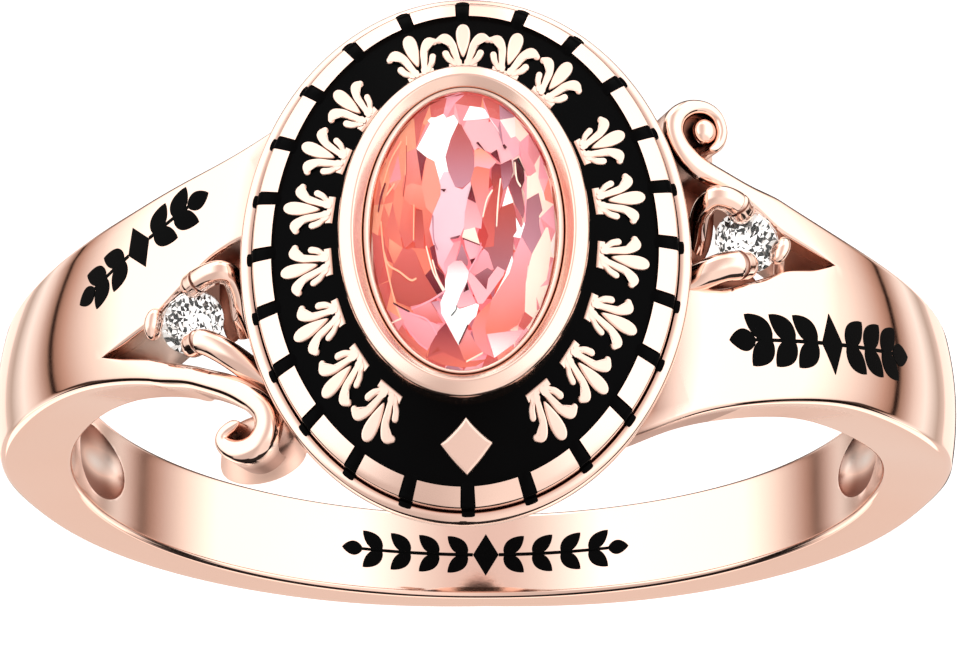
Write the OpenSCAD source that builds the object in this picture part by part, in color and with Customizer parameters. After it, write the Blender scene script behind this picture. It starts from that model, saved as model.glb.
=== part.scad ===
// Birthstone ring with an oval head, an enamel field round the stone and two small side stones.
// Each piece is drawn as the ring stands: X across, Z up through the head, Y along the finger, away from the viewer.
// It is then laid on its side as it rests by itself.

/* [Band] */
// Radius of the finger hole
bore_r = 8.65; // [7.5:0.05:10.5]
// Width across the whole ring
ring_w = 20.4; // [20:0.1:22]
// Radius of the band's outer edge at its back
back_r = 9.5; // [9.2:0.05:11.4]
// Width of the band at its back
back_w = 2.02; // [1.5:0.05:4]
// Length of each hollow on the inner wall
scoop_l = 2.5; // [1:0.1:4]
// Width of each hollow on the inner wall
scoop_w = 1.4; // [0.8:0.1:1.6]

/* [Head] */
// Half width of the oval head, across the finger
head_a = 4.42; // [4:0.02:5]
// Half length of the oval head, along the finger
head_b = 5.53; // [5:0.02:6.5]
// Height of the head's outline above the ring's centre
head_h = 9.7; // [9.5:0.05:10.5]
// Number of black ticks over the rim
tick_n = 24; // [12:2:36]
// Width of a tick
tick_w = 0.24; // [0.1:0.02:0.4]

/* [Stones] */
// Half width of the centre stone
stone_a = 1.8; // [1.4:0.02:2]
// Half length of the centre stone
stone_b = 2.92; // [2.4:0.02:3.2]
// Height of the centre stone's girdle
stone_h = 11.1; // [10.8:0.05:11.4]
// Radius of the side stones
side_r = 0.68; // [0.5:0.02:0.8]

/* [Shoulders] */
// Radius of the thin arms' top
arm_r = 10.25; // [10:0.05:10.6]
// Thickness of a claw
claw_t = 0.46; // [0.3:0.02:0.5]

/* [Pose and pieces] */
// Lean that lays the ring on the side of its head and the edge of its band
rest_x = -13.3; // [-25:0.05:0]
// Piece to draw

/* [Hidden] */
$fn = 48;
gold = [0.93, 0.66, 0.56];
black = [0.03, 0.03, 0.035];
pink = [0.95, 0.5, 0.58, 0.8];
clear = [0.95, 0.95, 0.97, 0.6];
// clearance left between two pieces
fit = 0.015;
// sides of every oval
oval_n = 56;
// move that sets the lying ring on the floor with its middle over the origin
shift = [0, 1.177, 3.162];

// half width of the band, by degrees from its back, on the broad arm's side and on the slender arm's side
broad = [[0, back_w / 2], [45, 1.05], [90, 1.08], [105, 1.2], [119, 1.5], [133, 1.87],
         [146, 2.35], [154, 2.95], [160, 3.3], [180, 3.2]];
slender = [[0, back_w / 2], [45, 1.05], [90, 1.08], [110, 1.2], [126, 1.43], [133, 1.56],
           [142, 1.88], [149, 2.35], [155, 2.95], [160, 3.2], [180, 3.2]];
// radius of the outer edge, and how far the outside is domed above it
edge_r = [[0, back_r], [20, 9.72], [45, 9.86], [75, 9.93], [90, 10.05], [105, 10.2],
          [150, 10.2], [156, 10.05], [162, 9.6], [170, 9.3], [180, 9.3]];
dome = [[0, 0.06], [90, 0.12], [105, 0.17], [150, 0.12], [165, 0]];
// right-hand opening between the arms: tangent distance outward, and distance towards the viewer
opening = [[2.3, -0.98], [0.94, -1.36], [-0.18, -1.74], [-2.4, -2.2], [-2.4, 0.66], [-0.53, 0.34],
           [0.46, -0.14], [0.94, -0.56], [2.25, -0.86]];
// middle line of each curled arm: X, distance towards the viewer, half width
curl_left = [[-6.3, 1.62, 0.2], [-5.22, 2.14, 0.22], [-4.7, 2.39, 0.25], [-4.35, 2.63, 0.25], [-4.09, 2.87, 0.25],
             [-3.92, 3.26, 0.24], [-4.03, 3.59, 0.25], [-4.28, 3.78, 0.25], [-4.56, 3.77, 0.22],
             [-4.73, 3.55, 0.17], [-4.66, 3.36, 0.13], [-4.47, 3.3, 0.09]];
curl_right = [[6.3, -1.6, 0.19], [5.75, -1.79, 0.2], [5.18, -1.99, 0.22], [4.68, -2.22, 0.24], [4.31, -2.45, 0.23],
              [4.17, -2.66, 0.22], [4.13, -2.91, 0.22], [4.21, -3.23, 0.19], [4.44, -3.44, 0.15],
              [4.7, -3.51, 0.13], [4.96, -3.39, 0.12], [5.11, -3.12, 0.12], [5.05, -2.83, 0.14],
              [4.87, -2.6, 0.1]];
// claws of the side stones: X, distance towards the viewer, radius from the ring's centre
claws_left = [[[-5.5, 0.08, 10.62], [-5.22, -0.02, 10.7], [-4.92, -0.04, 10.6], [-4.66, 0.2, 10.3], [-4.5, 0.6, 9.9],
               [-3.3, 1, 9.4]],
              [[-5.42, 1.36, 10.62], [-5.1, 1.42, 10.66], [-4.7, 1.72, 10.5], [-3.7, 2.2, 9.9]]];
claws_right = [[[5.42, -1.4, 10.62], [5.26, -1.52, 10.7], [4.97, -1.66, 10.6], [4.67, -1.44, 10.3], [4.5, -1.08, 9.9],
                [3.3, -0.8, 9.4]],
               [[5.46, -0.32, 10.62], [5.26, -0.28, 10.66], [4.92, -0.12, 10.5], [3.7, 0.3, 9.8]]];
beads = [[-6.26, 0.86], [6.3, -0.76]];
side_at = [[-5.4, 0.9], [5.5, -0.72]];

// Helpers

function soft(t, table) = (lookup(t - 5, table) + 2 * lookup(t, table) + lookup(t + 5, table)) / 4;
function unit(v) = v / norm(v);
function on_band(x, f, r) = [x, -f, sqrt(r * r - x * x)];

// Path with one more point put smoothly between each two
function eased(p) = [for (i = [0:len(p) - 1], u = i < len(p) - 1 ? [0, 0.5] : [0])
  let (a = p[max(i - 1, 0)], b = p[i], c = p[min(i + 1, len(p) - 1)], d = p[min(i + 2, len(p) - 1)])
    b + u * (c - a) / 2 + u * u * (a - 2.5 * b + 2 * c - d / 2) + u * u * u * (3 * b - a - 3 * c + d) / 2];

// Closed skin through rows of points, each row a loop; a ring of rows when closed
module skin(rows, closed = false) {
  n = len(rows);
  m = len(rows[0]);
  sides = [for (i = [0:n - (closed ? 1 : 2)], j = [0:m - 1])
    [i * m + j, i * m + (j + 1) % m, ((i + 1) % n) * m + (j + 1) % m, ((i + 1) % n) * m + j]];
  ends = closed ? [] : [[for (j = [0:m - 1]) j], [for (j = [m - 1:-1:0]) (n - 1) * m + j]];
  polyhedron([for (row = rows) each row], concat([for (s = sides) each [[s[0], s[2], s[1]], [s[0], s[3], s[2]]]], ends));
}

// Stack of ovals, each a half width, half length and height, from the bottom up
module ovals(rings) {
  skin([for (r = rings) [for (k = [0:oval_n - 1]) let (t = 360 * k / oval_n) [-r[0] * sin(t), r[1] * cos(t), r[2]]]]);
}

// Round limb along a path of [x, y, z, half width]; deep makes its lower side a straight wall
module limb(path, up, deep = 0) {
  n = len(path);
  arc = deep > 0 ? [for (k = [0:5]) [cos(36 * k), 0.8 * sin(36 * k)]] : [for (k = [0:7]) [cos(45 * k), sin(45 * k)]];
  skin([for (i = [0:n - 1])
    let (p = [path[i][0], path[i][1], path[i][2]], w = path[i][3],
         a = path[max(i - 1, 0)], b = path[min(i + 1, n - 1)],
         t = unit([b[0] - a[0], b[1] - a[1], b[2] - a[2]]), s = unit(cross(up, t)), v = cross(t, s))
      concat([for (q = arc) p + w * q[0] * s + w * q[1] * v],
        deep > 0 ? [p - w * s - deep * v, p + w * s - deep * v] : [])]);
}

// Cut stone of half width a and half length b: table, stars, kites, girdle and pavilion
module gem(a, b, crown, pavilion, table, girdle = 0.05) {
  function ring(n, turn, f, z) = [for (k = [0:n - 1]) let (t = 360 * k / n + turn) [a * f * sin(t), b * f * cos(t), z]];
  pts = concat(ring(8, 0, table, crown), ring(8, 22.5, 0.5 + table / 2, crown * 0.6), ring(16, 0, 1, girdle / 2),
    ring(16, 0, 1, -girdle / 2), ring(8, 22.5, 0.42, -pavilion * 0.62), [[0, 0, -pavilion]]);
  polyhedron(pts, concat([[for (k = [0:7]) k]],
    [for (k = [0:7]) each let (l = (k + 1) % 8, g = 2 * k, h = (2 * k + 2) % 16, p = 40, c = 48) [
      [k, 8 + k, l], [k, 16 + g, 8 + k], [l, 8 + k, 16 + h], [8 + k, 16 + g, 17 + g], [8 + k, 17 + g, 16 + h],
      [16 + g, 32 + g, 33 + g], [16 + g, 33 + g, 17 + g], [17 + g, 33 + g, 32 + h], [17 + g, 32 + h, 16 + h],
      [32 + g, p + 8 + k, 33 + g], [33 + g, p + 8 + k, 32 + h], [32 + g, c + 8, p + 8 + k], [32 + h, p + 8 + k, c + 8]
    ]]));
}

// Band and shoulders

module band_loop() {
  n = 96;
  skin([for (i = [0:n - 1])
    let (a = 180 - 360 * i / n, t = abs(a), near = soft(t, a > 0 ? broad : slender),
         far = soft(t, a > 0 ? slender : broad), e = soft(t, edge_r), d = soft(t, dome),
         mid = (near - far) / 2, half = (near + far) / 2, c = 0.08)
      [for (q = concat([[bore_r - 0.35, -far], [e - c, -far], [e, c - far]],
        [for (k = [-0.6, 0, 0.6]) [e + d * (1 - k * k), mid + k * half]],
        [[e, near - c], [e - c, near], [bore_r - 0.35, near]]))
        [q[0] * sin(a), -q[1], -q[0] * cos(a)]]], closed = true);
}

module opening_cut() {
  for (s = [0, 180]) rotate([0, 0, s]) rotate([0, 33, 0]) translate([0, 0, 7])
    linear_extrude(5) scale([1, -1]) offset(0.12, $fn = 24) offset(-0.12) polygon(opening);
}

module scoops() {
  for (s = [-1, 1]) rotate([0, s * -76 - 180, 0]) translate([0, 0, 8.55])
    resize([scoop_l, scoop_w, 1.1]) sphere(1, $fn = 14);
}

// Head and its collar

head_rings = [
  [head_a - 1.25, head_b - 1.25, 6.9], [head_a - 0.2, head_b - 0.2, head_h - 0.36],
  [head_a - 0.03, head_b - 0.03, head_h - 0.18], [head_a, head_b, head_h],
  [head_a - 0.24, head_b - 0.22, head_h + 0.13], [head_a - 0.29, head_b - 0.25, head_h + 0.26],
  [head_a - 0.42, head_b - 0.38, head_h + 0.47], [head_a - 0.64, head_b - 0.58, head_h + 0.57]];
field = [[head_a - 0.65, head_b - 0.59, head_h + 0.47], [2.45, 3.46, head_h + 0.98]];
collar_rings = [
  [2.4, 3.42, 10.78], [2.35, 3.37, 11.06], [2.26, 3.28, 11.32], [2.11, 3.15, 11.42], [1.97, 3.04, 11.33],
  [1.89, 2.98, 11.18], [stone_a - 0.03, stone_b - 0.03, 11.2]];

module enamel_ring(g) {
  ring = [for (k = [0:oval_n - 1]) let (t = 360 * k / oval_n, s = sin(t), c = cos(t)) [
    [(field[0][0] + g) * s, (field[0][1] + g) * c, field[0][2] - 0.3 - g],
    [(field[0][0] + g) * s, (field[0][1] + g) * c, field[0][2] + (g > 0 ? 0.2 : 0)],
    [(field[1][0] - g) * s, (field[1][1] - g) * c, field[1][2] + (g > 0 ? 0.2 : 0)],
    [(field[1][0] - g) * s, (field[1][1] - g) * c, field[1][2] - 0.3 - g]]];
  skin(ring, closed = true);
}

// Turns a thing drawn outward along X to stand on the oval a, b at t degrees
module on_oval(t, a, b, h) {
  translate([a * sin(t), b * cos(t), h]) rotate([0, 0, atan2(a * cos(t), b * sin(t))]) children();
}

// Even turns round the oval, eased so that the ticks stand nearly evenly along its edge
function tick_at(t) = t + 3.4 * sin(2 * t) - 1.2;

module ticks(g) {
  for (k = [0:tick_n - 1]) on_oval(tick_at(k * 360 / tick_n), field[0][0], field[0][1], head_h)
    rotate([90, 0, 0]) linear_extrude(tick_w + 2 * g, center = true) offset(delta = g)
      polygon([[-0.2, 0.2], [-0.2, 0.5], [0.01, 0.58], [0.24, 0.48], [0.38, 0.27], [0.5, 0.13], [0.5, 0.03],
               [0.2, 0.1]]);
}

module leaf(l, w) {
  polygon(concat([for (k = [0:2]) [l * k / 3, w * sin(60 * k)]], [for (k = [3:-1:1]) [l * k / 3, -w * sin(60 * k)]]));
}

module palmette() {
  translate([-0.44, 0]) leaf(0.9, 0.13);
  for (s = [-1, 1]) translate([-0.36, 0.02 * s]) rotate(34 * s) leaf(0.66, 0.12);
}

// Raised ornament: three groups of palmettes, and a lozenge at the foot
module ornament(g) {
  slope = atan2(field[1][2] - field[0][2], field[0][0] - field[1][0]);
  spots = concat([for (k = [0:6]) 212 + 17 * k], [for (k = [0:3]) 341 + 18 * k], [for (k = [0:5]) 60 + 17.5 * k]);
  for (t = spots) on_oval(t, 3.1, 4.2, head_h + 0.72) rotate([0, slope, 0])
    translate([0, 0, -0.4 - g]) linear_extrude(0.45 + (g > 0 ? 0.3 : 0)) offset(delta = g) palmette();
  on_oval(180, 3.1, 4.22, head_h + 0.71) rotate([0, slope * 0.85, 0]) translate([0, 0, -0.4 - g])
    linear_extrude(0.45 + (g > 0 ? 0.3 : 0)) offset(delta = g)
      polygon([[-0.56, 0], [0, -0.47], [0.56, 0], [0, 0.47]]);
}

// Arms, claws and stones

module curls() {
  for (s = [-1, 1]) {
    path = [for (p = s < 0 ? curl_left : curl_right)
      concat(on_band(p[0], p[1], arm_r - 0.8 * p[2] - max(0, abs(p[0]) - 5.7)), [p[2]])];
    limb(eased(path), unit([0.43 * s, 0, 0.9]), 0.75);
    translate([4.05 * s, 3.08 * s, 6.75]) {
      cylinder(r = 0.88, h = 1.5, $fn = 32);
      translate([0, 0, 1.5]) cylinder(r1 = 0.88, r2 = 0.7, h = 0.3, $fn = 32);
    }
  }
  translate(on_band(4.71, -3.02, arm_r - 0.2)) sphere(0.2, $fn = 14);
  translate([4.71, 3.02, 7]) cylinder(r = 0.1, h = 1.9, $fn = 12);
}

module claw(path) {
  limb(eased([for (i = [0:len(path) - 1]) let (p = path[i])
    concat(on_band(p[0], p[1], p[2] - claw_t / 2), [i == 0 ? claw_t * 0.36 : claw_t / 2])]), unit([path[0][0], 0, 9]));
}

module side_place(s) {
  c = side_at[s < 0 ? 0 : 1];
  translate(on_band(c[0], c[1], arm_r)) rotate([0, 15 * s, 0]) children();
}

// Claws that come from the head, and a bead on a bar that joins the two arms
module settings() {
  for (p = concat(claws_left, claws_right)) claw(p);
  for (b = beads) {
    limb([concat(on_band(b[0], b[1], 9), [0.25]), concat(on_band(b[0], b[1], 10.42), [0.25]),
      concat(on_band(b[0] * 0.98, b[1], 10.62), [0.15])], [0, 1, 0]);
    limb([concat(on_band(b[0], b[1] - 0.75, 9.3), [0.25]), concat(on_band(b[0], b[1] + 0.75, 9.3), [0.25])], [0, 0, 1]);
  }
}

module side_stone(s, g = 0) {
  side_place(s) gem(side_r + g, side_r + g, 0.26 + g, 0.56 + g, 0.56);
}

module centre_gem(g = 0) {
  translate([0, 0, stone_h]) gem(stone_a + g, stone_b + g, 0.5 + g, 1.35 + g, 0.58, 0.07 + g);
}

// Pieces

module casting() {
  difference() {
    union() {
      difference() {
        band_loop();
        opening_cut();
      }
      difference() {
        ovals(concat(head_rings, field, collar_rings));
        enamel_ring(fit);
        ticks(fit);
      }
      curls();
      settings();
      ornament(0);
    }
    scoops();
    centre_gem(fit);
    for (s = [-1, 1]) side_stone(s, fit);
  }
}

module laid() {
  translate(shift) rotate([rest_x, 0, 0]) rotate([0, 0, 180]) rotate([-90, 0, 0]) children();
}

module ring_body() {
  color(gold) laid() difference() {
    resize([ring_w, 0, 0]) casting();
    rotate([90, 0, 0]) cylinder(r = bore_r, h = 30, center = true);
  }
}

module enamel() {
  color(black) laid() difference() {
    union() {
      enamel_ring(0);
      ticks(0);
    }
    ornament(fit);
  }
}

module centre_stone() {
  color(pink) laid() centre_gem();
}

module side_stone_left() {
  color(clear) laid() side_stone(-1);
}

module side_stone_right() {
  color(clear) laid() side_stone(1);
}

ring_body();
enamel();
centre_stone();
side_stone_left();
side_stone_right();
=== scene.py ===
"""Birthstone ring with an oval enamelled head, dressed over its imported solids.

Shapes are worked out in millimetres for the standing ring: x across it, f towards the viewer along the
finger, z up through the head. lay() turns them into the frame in which the ring lies.
"""
import math

import bpy
import numpy as np
from mathutils import Matrix, Vector
from mathutils.geometry import delaunay_2d_cdt


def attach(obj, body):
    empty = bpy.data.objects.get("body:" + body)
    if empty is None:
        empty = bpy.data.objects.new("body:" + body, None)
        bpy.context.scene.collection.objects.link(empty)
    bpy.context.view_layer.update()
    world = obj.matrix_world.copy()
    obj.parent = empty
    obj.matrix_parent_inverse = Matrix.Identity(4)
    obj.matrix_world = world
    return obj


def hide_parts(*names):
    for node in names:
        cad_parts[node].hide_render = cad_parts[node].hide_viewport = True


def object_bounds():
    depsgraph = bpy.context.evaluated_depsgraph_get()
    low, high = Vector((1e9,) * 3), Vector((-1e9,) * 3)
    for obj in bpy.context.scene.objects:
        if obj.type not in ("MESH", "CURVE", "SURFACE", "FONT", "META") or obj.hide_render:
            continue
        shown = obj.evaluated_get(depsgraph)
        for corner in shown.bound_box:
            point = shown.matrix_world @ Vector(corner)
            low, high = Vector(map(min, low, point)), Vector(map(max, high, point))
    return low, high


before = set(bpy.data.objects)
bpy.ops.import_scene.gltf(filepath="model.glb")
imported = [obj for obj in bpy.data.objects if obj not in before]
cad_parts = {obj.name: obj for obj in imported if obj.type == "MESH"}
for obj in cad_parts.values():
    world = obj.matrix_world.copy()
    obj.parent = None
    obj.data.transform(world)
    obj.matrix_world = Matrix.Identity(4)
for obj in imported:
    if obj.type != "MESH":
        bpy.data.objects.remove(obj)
cad_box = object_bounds()

bl_info = {
    "name": "Birthstone ring",
    "version": (1, 0, 0),
    "blender": (4, 5, 0),
    "location": "3D View > Sidebar > Ring",
    "description": "Builds an oval birthstone ring with enamel, scrolled shoulders and side stones",
    "category": "Add Mesh",
}

MM = 0.001
# How the ring lies: its lean about X, and where the middle of its finger hole goes in Y and Z, in mm
LEAN = math.radians(-13.3)
RAISE = (1.177, 3.162)

# Band: radius of the finger hole, and the radius on which lengths along the band are measured
BORE = 8.65
SKIN = 10.2
# Outer edges by degrees from the back, as distances from the band's middle plane
NEAR_LEFT = [(0, 1.01), (45, 1.05), (80, 1.12), (95, 1.3), (108, 1.4), (118, 1.4), (126, 1.46), (133, 1.6),
             (142, 1.94), (149, 2.42), (155, 3.0), (160, 3.3), (180, 3.3)]
NEAR_RIGHT = [(0, 1.01), (45, 1.05), (80, 1.14), (95, 1.42), (108, 1.72), (118, 1.86), (124, 1.93), (131, 2.02),
              (136, 2.18), (144, 2.5), (151, 2.85), (154.5, 3.06), (157.5, 3.3), (161, 3.7), (180, 3.7)]
FAR_LEFT = [(0, 1.01), (45, 1.05), (80, 1.12), (95, 1.26), (108, 1.38), (119, 1.5), (130, 1.7), (137.6, 1.88),
            (143, 2.08), (148, 2.28), (151.5, 2.46), (154.3, 2.7), (157, 3.0), (159, 3.27), (161, 3.6), (180, 3.6)]
FAR_RIGHT = [(0, 1.01), (45, 1.05), (80, 1.12), (95, 1.26), (108, 1.33), (118, 1.38), (126, 1.44), (133, 1.56),
             (142, 1.88), (149, 2.35), (155, 2.95), (160, 3.2), (180, 3.2)]
# By degrees from the back too: how far the hole's rim stands in from the edge, the edge's radius, and how high the band
# is domed between its edges
FLARE = [(0, 0), (75, 0), (90, 0.1), (105, 0.2), (120, 0.16), (135, 0.1), (150, 0.08), (165, 0)]
EDGE = [(0, 9.5), (20, 9.72), (45, 9.86), (75, 9.93), (90, 10.05), (105, 10.2), (150, 10.2), (156, 10.05),
        (162, 9.6), (170, 9.3), (180, 9.3)]
DOME = [(0, 0.06), (90, 0.12), (105, 0.17), (150, 0.12), (165, 0.02)]
# Dome of an arm beside a gap, and radius and dome of a scroll's back
ARM_DOME, SCROLL_BACK, SCROLL_DOME = 0.07, 10.24, 0.03
# How far the shank's outer corners are rounded across and down, and those at a gap; and the lip at the finger hole
ROUND_ACROSS, ROUND_DOWN, ROUND_GAP, LIP = 0.13, 0.12, 0.1, 0.12
# Where the gaps begin, in degrees from the back
GAP_TIP = 134.0
# Hollow in the band's inner wall on each side: degrees from the back, radius of its middle and half axes; then the
# painted highlight in it, a pale spot: degrees from the back, f, and how far it reaches both ways; and the radius, f
# and degrees from its middle within which all its points lie
HOLLOW_AT, HOLLOW_RADIUS, HOLLOW_AXES = 76.0, 8.55, (1.45, 0.76, 0.42)
HOLLOW_HIGHLIGHT = (71.5, -0.25, 5.0, 0.26)
HOLLOW_WITHIN = (9.2, 0.78, 14)
# Sides of the two gaps: the left one's far and near side, and the right one's far and near side
GAP_LEFT_FAR = [(134, 1.1), (137.5, 0.98), (141.7, 0.72), (144.4, 0.35), (150, -0.38), (153.5, -0.68), (160, -0.9),
                (175, -1.0)]
GAP_LEFT_NEAR = [(134, 1.1), (141.7, 1.43), (148, 1.78)]
GAP_RIGHT_FAR = [(134, -0.82), (141.7, -1.14), (148, -1.55)]
GAP_RIGHT_NEAR = [(134, -0.82), (137.5, -0.58), (141.7, -0.4), (144.4, -0.13), (150, 0.3), (153.5, 0.36), (160, 0.4),
                  (175, 0.45)]
# Middle line of each scroll as x, f, half width; the right one is given turned half round to the left
SCROLL_LEFT = [(-6.3, 1.62, 0.22), (-5.22, 2.14, 0.23), (-4.7, 2.39, 0.25), (-4.35, 2.63, 0.25), (-4.08, 2.87, 0.255),
               (-3.93, 3.11, 0.265), (-3.91, 3.39, 0.275), (-4.05, 3.66, 0.285), (-4.27, 3.78, 0.275),
               (-4.5, 3.76, 0.235), (-4.69, 3.65, 0.19), (-4.77, 3.51, 0.15), (-4.72, 3.37, 0.13),
               (-4.56, 3.27, 0.12), (-4.38, 3.24, 0.09)]
SCROLL_RIGHT = [(-6.3, 1.6, 0.21), (-5.75, 1.79, 0.22), (-5.15, 2.0, 0.24), (-4.71, 2.17, 0.26), (-4.46, 2.34, 0.26),
                (-4.26, 2.57, 0.24), (-4.15, 2.85, 0.225), (-4.17, 3.11, 0.22), (-4.3, 3.32, 0.19),
                (-4.53, 3.47, 0.155), (-4.8, 3.49, 0.13), (-5.01, 3.35, 0.12), (-5.1, 3.08, 0.115), (-5.06, 2.83, 0.11),
                (-4.95, 2.66, 0.1), (-4.8, 2.57, 0.08)]
# Claws as x, f, radius from the ring's centre, from the tip to the root
CLAWS = {
    "claw_left_upper": [(-5.41, 0.17, 10.52), (-5.24, 0.12, 10.6), (-5.03, 0.08, 10.64), (-4.82, 0.06, 10.58),
                        (-4.62, 0.13, 10.4), (-4.5, 0.36, 10.15), (-4.45, 0.72, 9.86), (-4.36, 1.05, 9.56)],
    "claw_left_lower": [(-5.36, 1.46, 10.56), (-5.2, 1.46, 10.62), (-4.98, 1.56, 10.58), (-4.62, 1.79, 10.45),
                        (-4.2, 2.08, 10.2), (-3.7, 2.4, 9.85)],
    "claw_right_upper": [(5.43, -1.38, 10.52), (5.33, -1.44, 10.61), (5.12, -1.5, 10.64), (4.9, -1.5, 10.56),
                         (4.73, -1.4, 10.38), (4.62, -1.25, 10.15), (4.57, -1.0, 9.88), (4.5, -0.6, 9.55)],
    "claw_right_lower": [(5.46, -0.2, 10.56), (5.3, -0.12, 10.62), (5.06, -0.06, 10.56), (4.76, 0.06, 10.42),
                         (4.4, 0.18, 10.15), (3.9, 0.3, 9.8)],
}
# How thick each claw is at its tip and at its root
CLAW_SWELL = {"claw_left_upper": (1.1, 0.85), "claw_left_lower": (1.1, 1.1), "claw_right_upper": (1.2, 0.75),
              "claw_right_lower": (1.3, 1.2)}
# Distance of each claw's notch from its tip
NOTCH_AT = 0.2
# Balls at the outer ends of the side stones: x, f and turn
BEADS = {"bead_left": (-6.18, 0.9, 0.2), "bead_right": (6.2, -0.62, 0.42)}
# Metal between the head and the arms, under each side stone: x, f, half width, half length
GALLERIES = {"gallery_left": (-4.62, 0.0, 0.36, 1.2), "gallery_right_upper": (4.5, -1.5, 0.46, 1.1),
             "gallery_right_lower": (5.1, -0.25, 0.8, 0.33)}
SIDE_STONES = {"left": (-5.41, 0.95), "right": (5.54, -0.75)}

# Studio light round the ring: colour by degrees of turn to either side of the camera, a white panel on each side and
# a thin dark flag past each panel. Above STUDIO_RISE it gives way to one colour on each side, and overhead it is dark
STUDIO = [(0, (0.88, 0.76, 0.72)), (9, (0.92, 0.8, 0.76)), (17, (1.05, 1.03, 0.98)), (34, (1.75, 1.75, 1.72)),
          (80, (1.7, 1.7, 1.62)), (92, (1.25, 1.22, 1.14)), (99, (0.96, 0.86, 0.8)), (106, (0.64, 0.45, 0.37)),
          (110.1, (0.38, 0.23, 0.17)), (110.8, (0.01, 0.005, 0.005)), (112.2, (0.01, 0.005, 0.005)),
          (113.1, (0.38, 0.25, 0.19)), (116, (0.62, 0.48, 0.42)), (120, (0.96, 0.86, 0.8)), (126, (1.2, 1.2, 1.15)),
          (135, (0.58, 0.5, 0.44)), (142, (0.9, 0.77, 0.7)), (180, (0.88, 0.74, 0.655))]
STUDIO_RISE = (18, 42)
STUDIO_HIGH = [(1.1, 1.02, 0.96), (0.74, 0.66, 0.62)]
# Panels: turn from and to, height from and to, softness, all in degrees, and how much light they take; where that is
# below 0 they add light
STUDIO_PANELS = [(116, 190, 29, 72, 4, 0.97), (99, 125, 11, 32, 3, 0.97), (168, 190, 19, 36, 3, 0.97),
                 (101, 109, -6, 12, 3, 0.9), (167, 193, -46, -22, 3, 0.96), (112, 193, -91, -50, 6, 0.85),
                 (131, 163, 2, 21, 3, -1.2), (168, 190, 10.5, 15, 2, -0.8), (143, 163, -45, -25, 3, -0.5),
                 (-26, 26, -66, -42, 6, -0.9)]

# Head: half width and length of its edge, then how far in from there the rim's crease lies, where the blocks begin and
# how wide they are, all across and along it; the oval on which lengths along the rim are measured; how many ticks
# cross it, and how square the blocks' outer edge is
HEAD_A, HEAD_B = 4.42, 5.53
CREASE = (0.246, 0.201)
BLOCK_FOOT = (0.26, 0.215)
BLOCK_WIDTH = (0.38, 0.365)
RIM_MIDDLE = (4.0, 5.15)
TICKS = 24
RIM_POWER = 10
# Head's wall: half width, half length and height of its top, and how far it leans in for each mm down
WALL_A, WALL_B, WALL_TOP, WALL_LEAN = 4.22, 5.33, 9.34, 0.43
# Enamel: half width and length at the collar's foot, what they grow by up to the rim, the oval on which lengths along
# the field are measured, and the field's width
FIELD_FOOT = (2.4, 3.42)
FIELD_GROWTH = (1.375, 1.52)
FIELD_MIDDLE = (3.1, 4.2)
FIELD_WIDTH = 1.36
# How dark the painted shade has to be to pass from brown to black
BROWN = 0.62

# Heights in the centre stone: its girdle, its inner facets, the lowest flash and the step to each next one, and the
# culet; then half width and length of its crown, its inner facets and its flashes
GIRDLE, HEART, FLASH, FLASH_STEP, CULET = 11.1, 11.05, 10.95, 0.0013, 9.9
STONE_CROWN, STONE_HEART, STONE_FLASH = (1.8, 2.92), (1.77, 2.89), (1.76, 2.86)


# ---- placement and meshes


def spun(x, y, angle):
    """The pair (x, y) turned by the angle: x cos - y sin, and x sin + y cos."""
    c, s = math.cos(angle), math.sin(angle)
    return x * c - y * s, x * s + y * c


def lay(p):
    """Points (x, f, z) of the standing ring in mm, taken to the lying frame in metres: the head's direction goes to
    -Y and the finger's to +Z, and then all leans about X and is raised on to the floor."""
    y, z = spun(-p[..., 2], p[..., 1], LEAN)
    return np.stack([-p[..., 0], y + RAISE[0], z + RAISE[1]], -1) * MM


def stand(mesh):
    """x, f and z in mm of a mesh's points, back from the lying frame: the turn of lay() undone."""
    p = np.zeros(len(mesh.vertices) * 3)
    mesh.vertices.foreach_get("co", p)
    p = p.reshape(-1, 3) / MM - np.array([0, *RAISE])
    y, z = spun(p[:, 1], p[:, 2], -LEAN)
    return -p[:, 0], z, -y


def quads(n, m, rows):
    """Faces between each of the first rows of an n by m grid and the row after it, both closed round."""
    i, j = np.meshgrid(np.arange(rows), np.arange(m), indexing="ij")
    h, k = (i + 1) % n, (j + 1) % m
    return np.stack([i * m + j, i * m + k, h * m + k, h * m + j], -1).reshape(-1, 4)


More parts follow.
